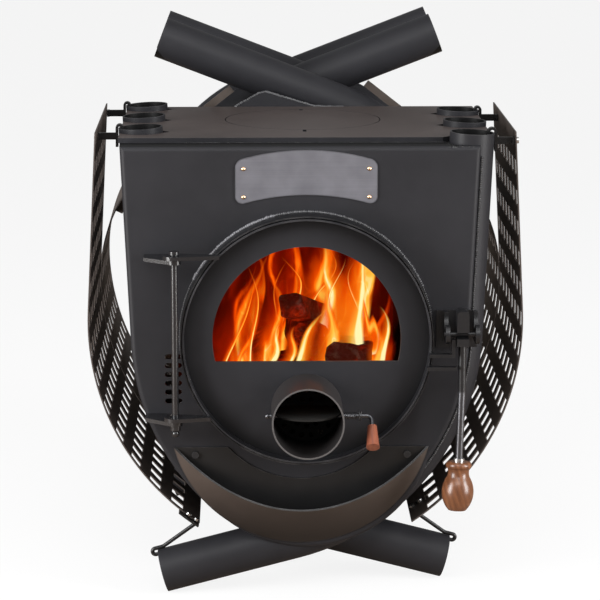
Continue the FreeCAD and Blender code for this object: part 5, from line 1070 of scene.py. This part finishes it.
# Corner weld
# Rows of filler, laid to and fro, close the corner between the front plate's fold, the notch in the
# cooking top and the first tube on the right. They are painted near black, as shade.
CORNER_TUBE = Vector((0.2605, -0.2921, 0.7265))
CORNER_REACH = 0.036
CORNER_ROWS = 14
CORNER_ROW_STEP = 0.004
CORNER_FRONT = -0.3285
FOLD_END = 0.2195
NOTCH_END = 0.211
corner_fill = []
for row in range(CORNER_ROWS):
    across = CORNER_FRONT + CORNER_ROW_STEP * row
    bulge = math.sqrt(max(0, CORNER_REACH ** 2 - (across - CORNER_TUBE.y) ** 2))
    inner = FOLD_END if across < top_low.y else NOTCH_END
    outer = CORNER_TUBE.x - BEAD_SINK - bulge
    ends = [Vector((end, across, CORNER_TUBE.z)) for end in (inner, outer)]
    corner_fill += ends if row % 2 else ends[::-1]
weld_bead("weld_corner", corner_fill, radius=0.0034, finish=weld_shade_black, seed=8)


# Gable weld
# A run along the slanted top of the gable, found by looking down on it at even steps.
GABLE_START = -0.156
GABLE_STEP = 0.012
GABLE_STEPS = 27
ABOVE_GABLE = 1.0
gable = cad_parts["step_plates"]
gable_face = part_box("step_plates")[0].y
gable_line = []
for step in range(GABLE_STEPS):
    over = Vector((GABLE_START + GABLE_STEP * step, gable_face + BEAD_SINK, ABOVE_GABLE))
    found, spot = gable.ray_cast(over, Vector((0, 0, -1)))[:2]
    if found:
        gable_line.append(spot)
weld_bead("weld_gable", gable_line, radius=0.0026, finish=weld_dull, seed=4)


# Side seam weld
# Where the front plate's right edge meets the first tube, round its wide bend and up its leaning
# side.
BEND_MIDDLE = Vector((-0.10668, 0, 0.43077))
SEAM_REACH = 0.3672
SEAM_LEAN = math.radians(2.6)
SEAM_INSET = 0.0065
SEAM_RISE = 0.3
SEAM_DEGREES = range(-44, -3, 4)
seam_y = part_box("front_plate")[0].y + SEAM_INSET
seam_angles = [math.radians(degrees) for degrees in SEAM_DEGREES] + [-SEAM_LEAN]
seam_turn = [BEND_MIDDLE + Vector((SEAM_REACH * math.cos(angle), seam_y, SEAM_REACH * math.sin(angle)))
             for angle in seam_angles]
seam_top = seam_turn[-1] + Vector((math.sin(SEAM_LEAN), 0, math.cos(SEAM_LEAN))) * SEAM_RISE
weld_bead("weld_right_seam", seam_turn + [seam_top], radius=0.0026, finish=weld_paint, seed=5)


# Studio
# A pale floor and white surround under broad soft lamps. The floor is white to the eye and dull to
# the steel that mirrors it.
FLOOR_HALF = 12
FLOOR_WHITE = 0.86
DULL_FLOOR = (0.33, 0.26, 0.21, 1)
PALE_FLOOR = (0.96, 0.96, 0.96, 1)
ROOM_LIGHT = 0.32
MIRRORED_LIGHT = 0.3
SEEN_WHITE = 1.0


def area_lamp(name, place, target, size, power):
    """A broad lamp that looks at a target, with its size in metres and its power in watts."""
    lamp = bpy.data.lights.new(name, "AREA")
    lamp.shape = "RECTANGLE"
    lamp.size, lamp.size_y = size
    lamp.energy = power
    carrier = bpy.data.objects.new(name, lamp)
    carrier.location = place
    carrier.rotation_euler = (Vector(target) - Vector(place)).to_track_quat("-Z", "Y").to_euler()
    scene.collection.objects.link(carrier)


area_lamp("front_soft", place=(0, -3.5, 3.1), target=(0, -0.3, 0.5), size=(3.0, 1.4), power=55)
area_lamp("overhead", place=(0, -1.1, 2.9), target=(0, 0, 0.5), size=(2.2, 1.6), power=14)
area_lamp("left_strip", place=(-2.5, -1.7, 0.9), target=(0, -0.2, 0.4), size=(1.2, 2.2), power=126)
area_lamp("right_strip", place=(2.5, -1.5, 1.0), target=(0, -0.2, 0.5), size=(1.0, 2.2), power=98)


def mix_shaders(tree, share, first, second):
    """One Mix Shader node, whose share is a socket or a number."""
    node = tree.nodes.new("ShaderNodeMixShader")
    if hasattr(share, "links"):
        tree.links.new(share, node.inputs["Fac"])
    else:
        node.inputs["Fac"].default_value = share
    tree.links.new(first, node.inputs[1])
    tree.links.new(second, node.inputs[2])
    return node.outputs[0]


shape = bmesh.new()
bmesh.ops.create_grid(shape, x_segments=1, y_segments=1, size=FLOOR_HALF)
floor_finish, floor_tree, floor_surface = new_finish("studio_floor")
set_inputs(floor_surface, Base_Color=PALE_FLOOR, Roughness=0.9)
white_light = floor_tree.nodes.new("ShaderNodeEmission")
pale = mix_shaders(floor_tree, FLOOR_WHITE, floor_surface.outputs[0], white_light.outputs[0])
dull_floor = floor_tree.nodes.new("ShaderNodeBsdfDiffuse")
set_inputs(dull_floor, Color=DULL_FLOOR)
floor_ray = floor_tree.nodes.new("ShaderNodeLightPath").outputs
floor_shown = mix_shaders(floor_tree, floor_ray["Is Camera Ray"], dull_floor.outputs[0], pale)
floor_tree.links.new(floor_shown, floor_tree.nodes["Material Output"].inputs["Surface"])
floor = finish_piece("studio_floor", shape, floor_finish)

world = bpy.data.worlds.new("white_surround")
world.use_nodes = True
scene.world = world
surround = world.node_tree


def backdrop(strength):
    """A plain white surround of one strength."""
    shader = surround.nodes.new("ShaderNodeBackground")
    set_inputs(shader, Color=(1, 1, 1, 1), Strength=strength)
    return shader.outputs[0]


ray = surround.nodes.new("ShaderNodeLightPath").outputs
room_light = mix_shaders(surround, ray["Is Glossy Ray"], backdrop(ROOM_LIGHT), backdrop(MIRRORED_LIGHT))
white_room = mix_shaders(surround, ray["Is Camera Ray"], room_light, backdrop(SEEN_WHITE))
surround.links.new(white_room, surround.nodes["World Output"].inputs["Surface"])
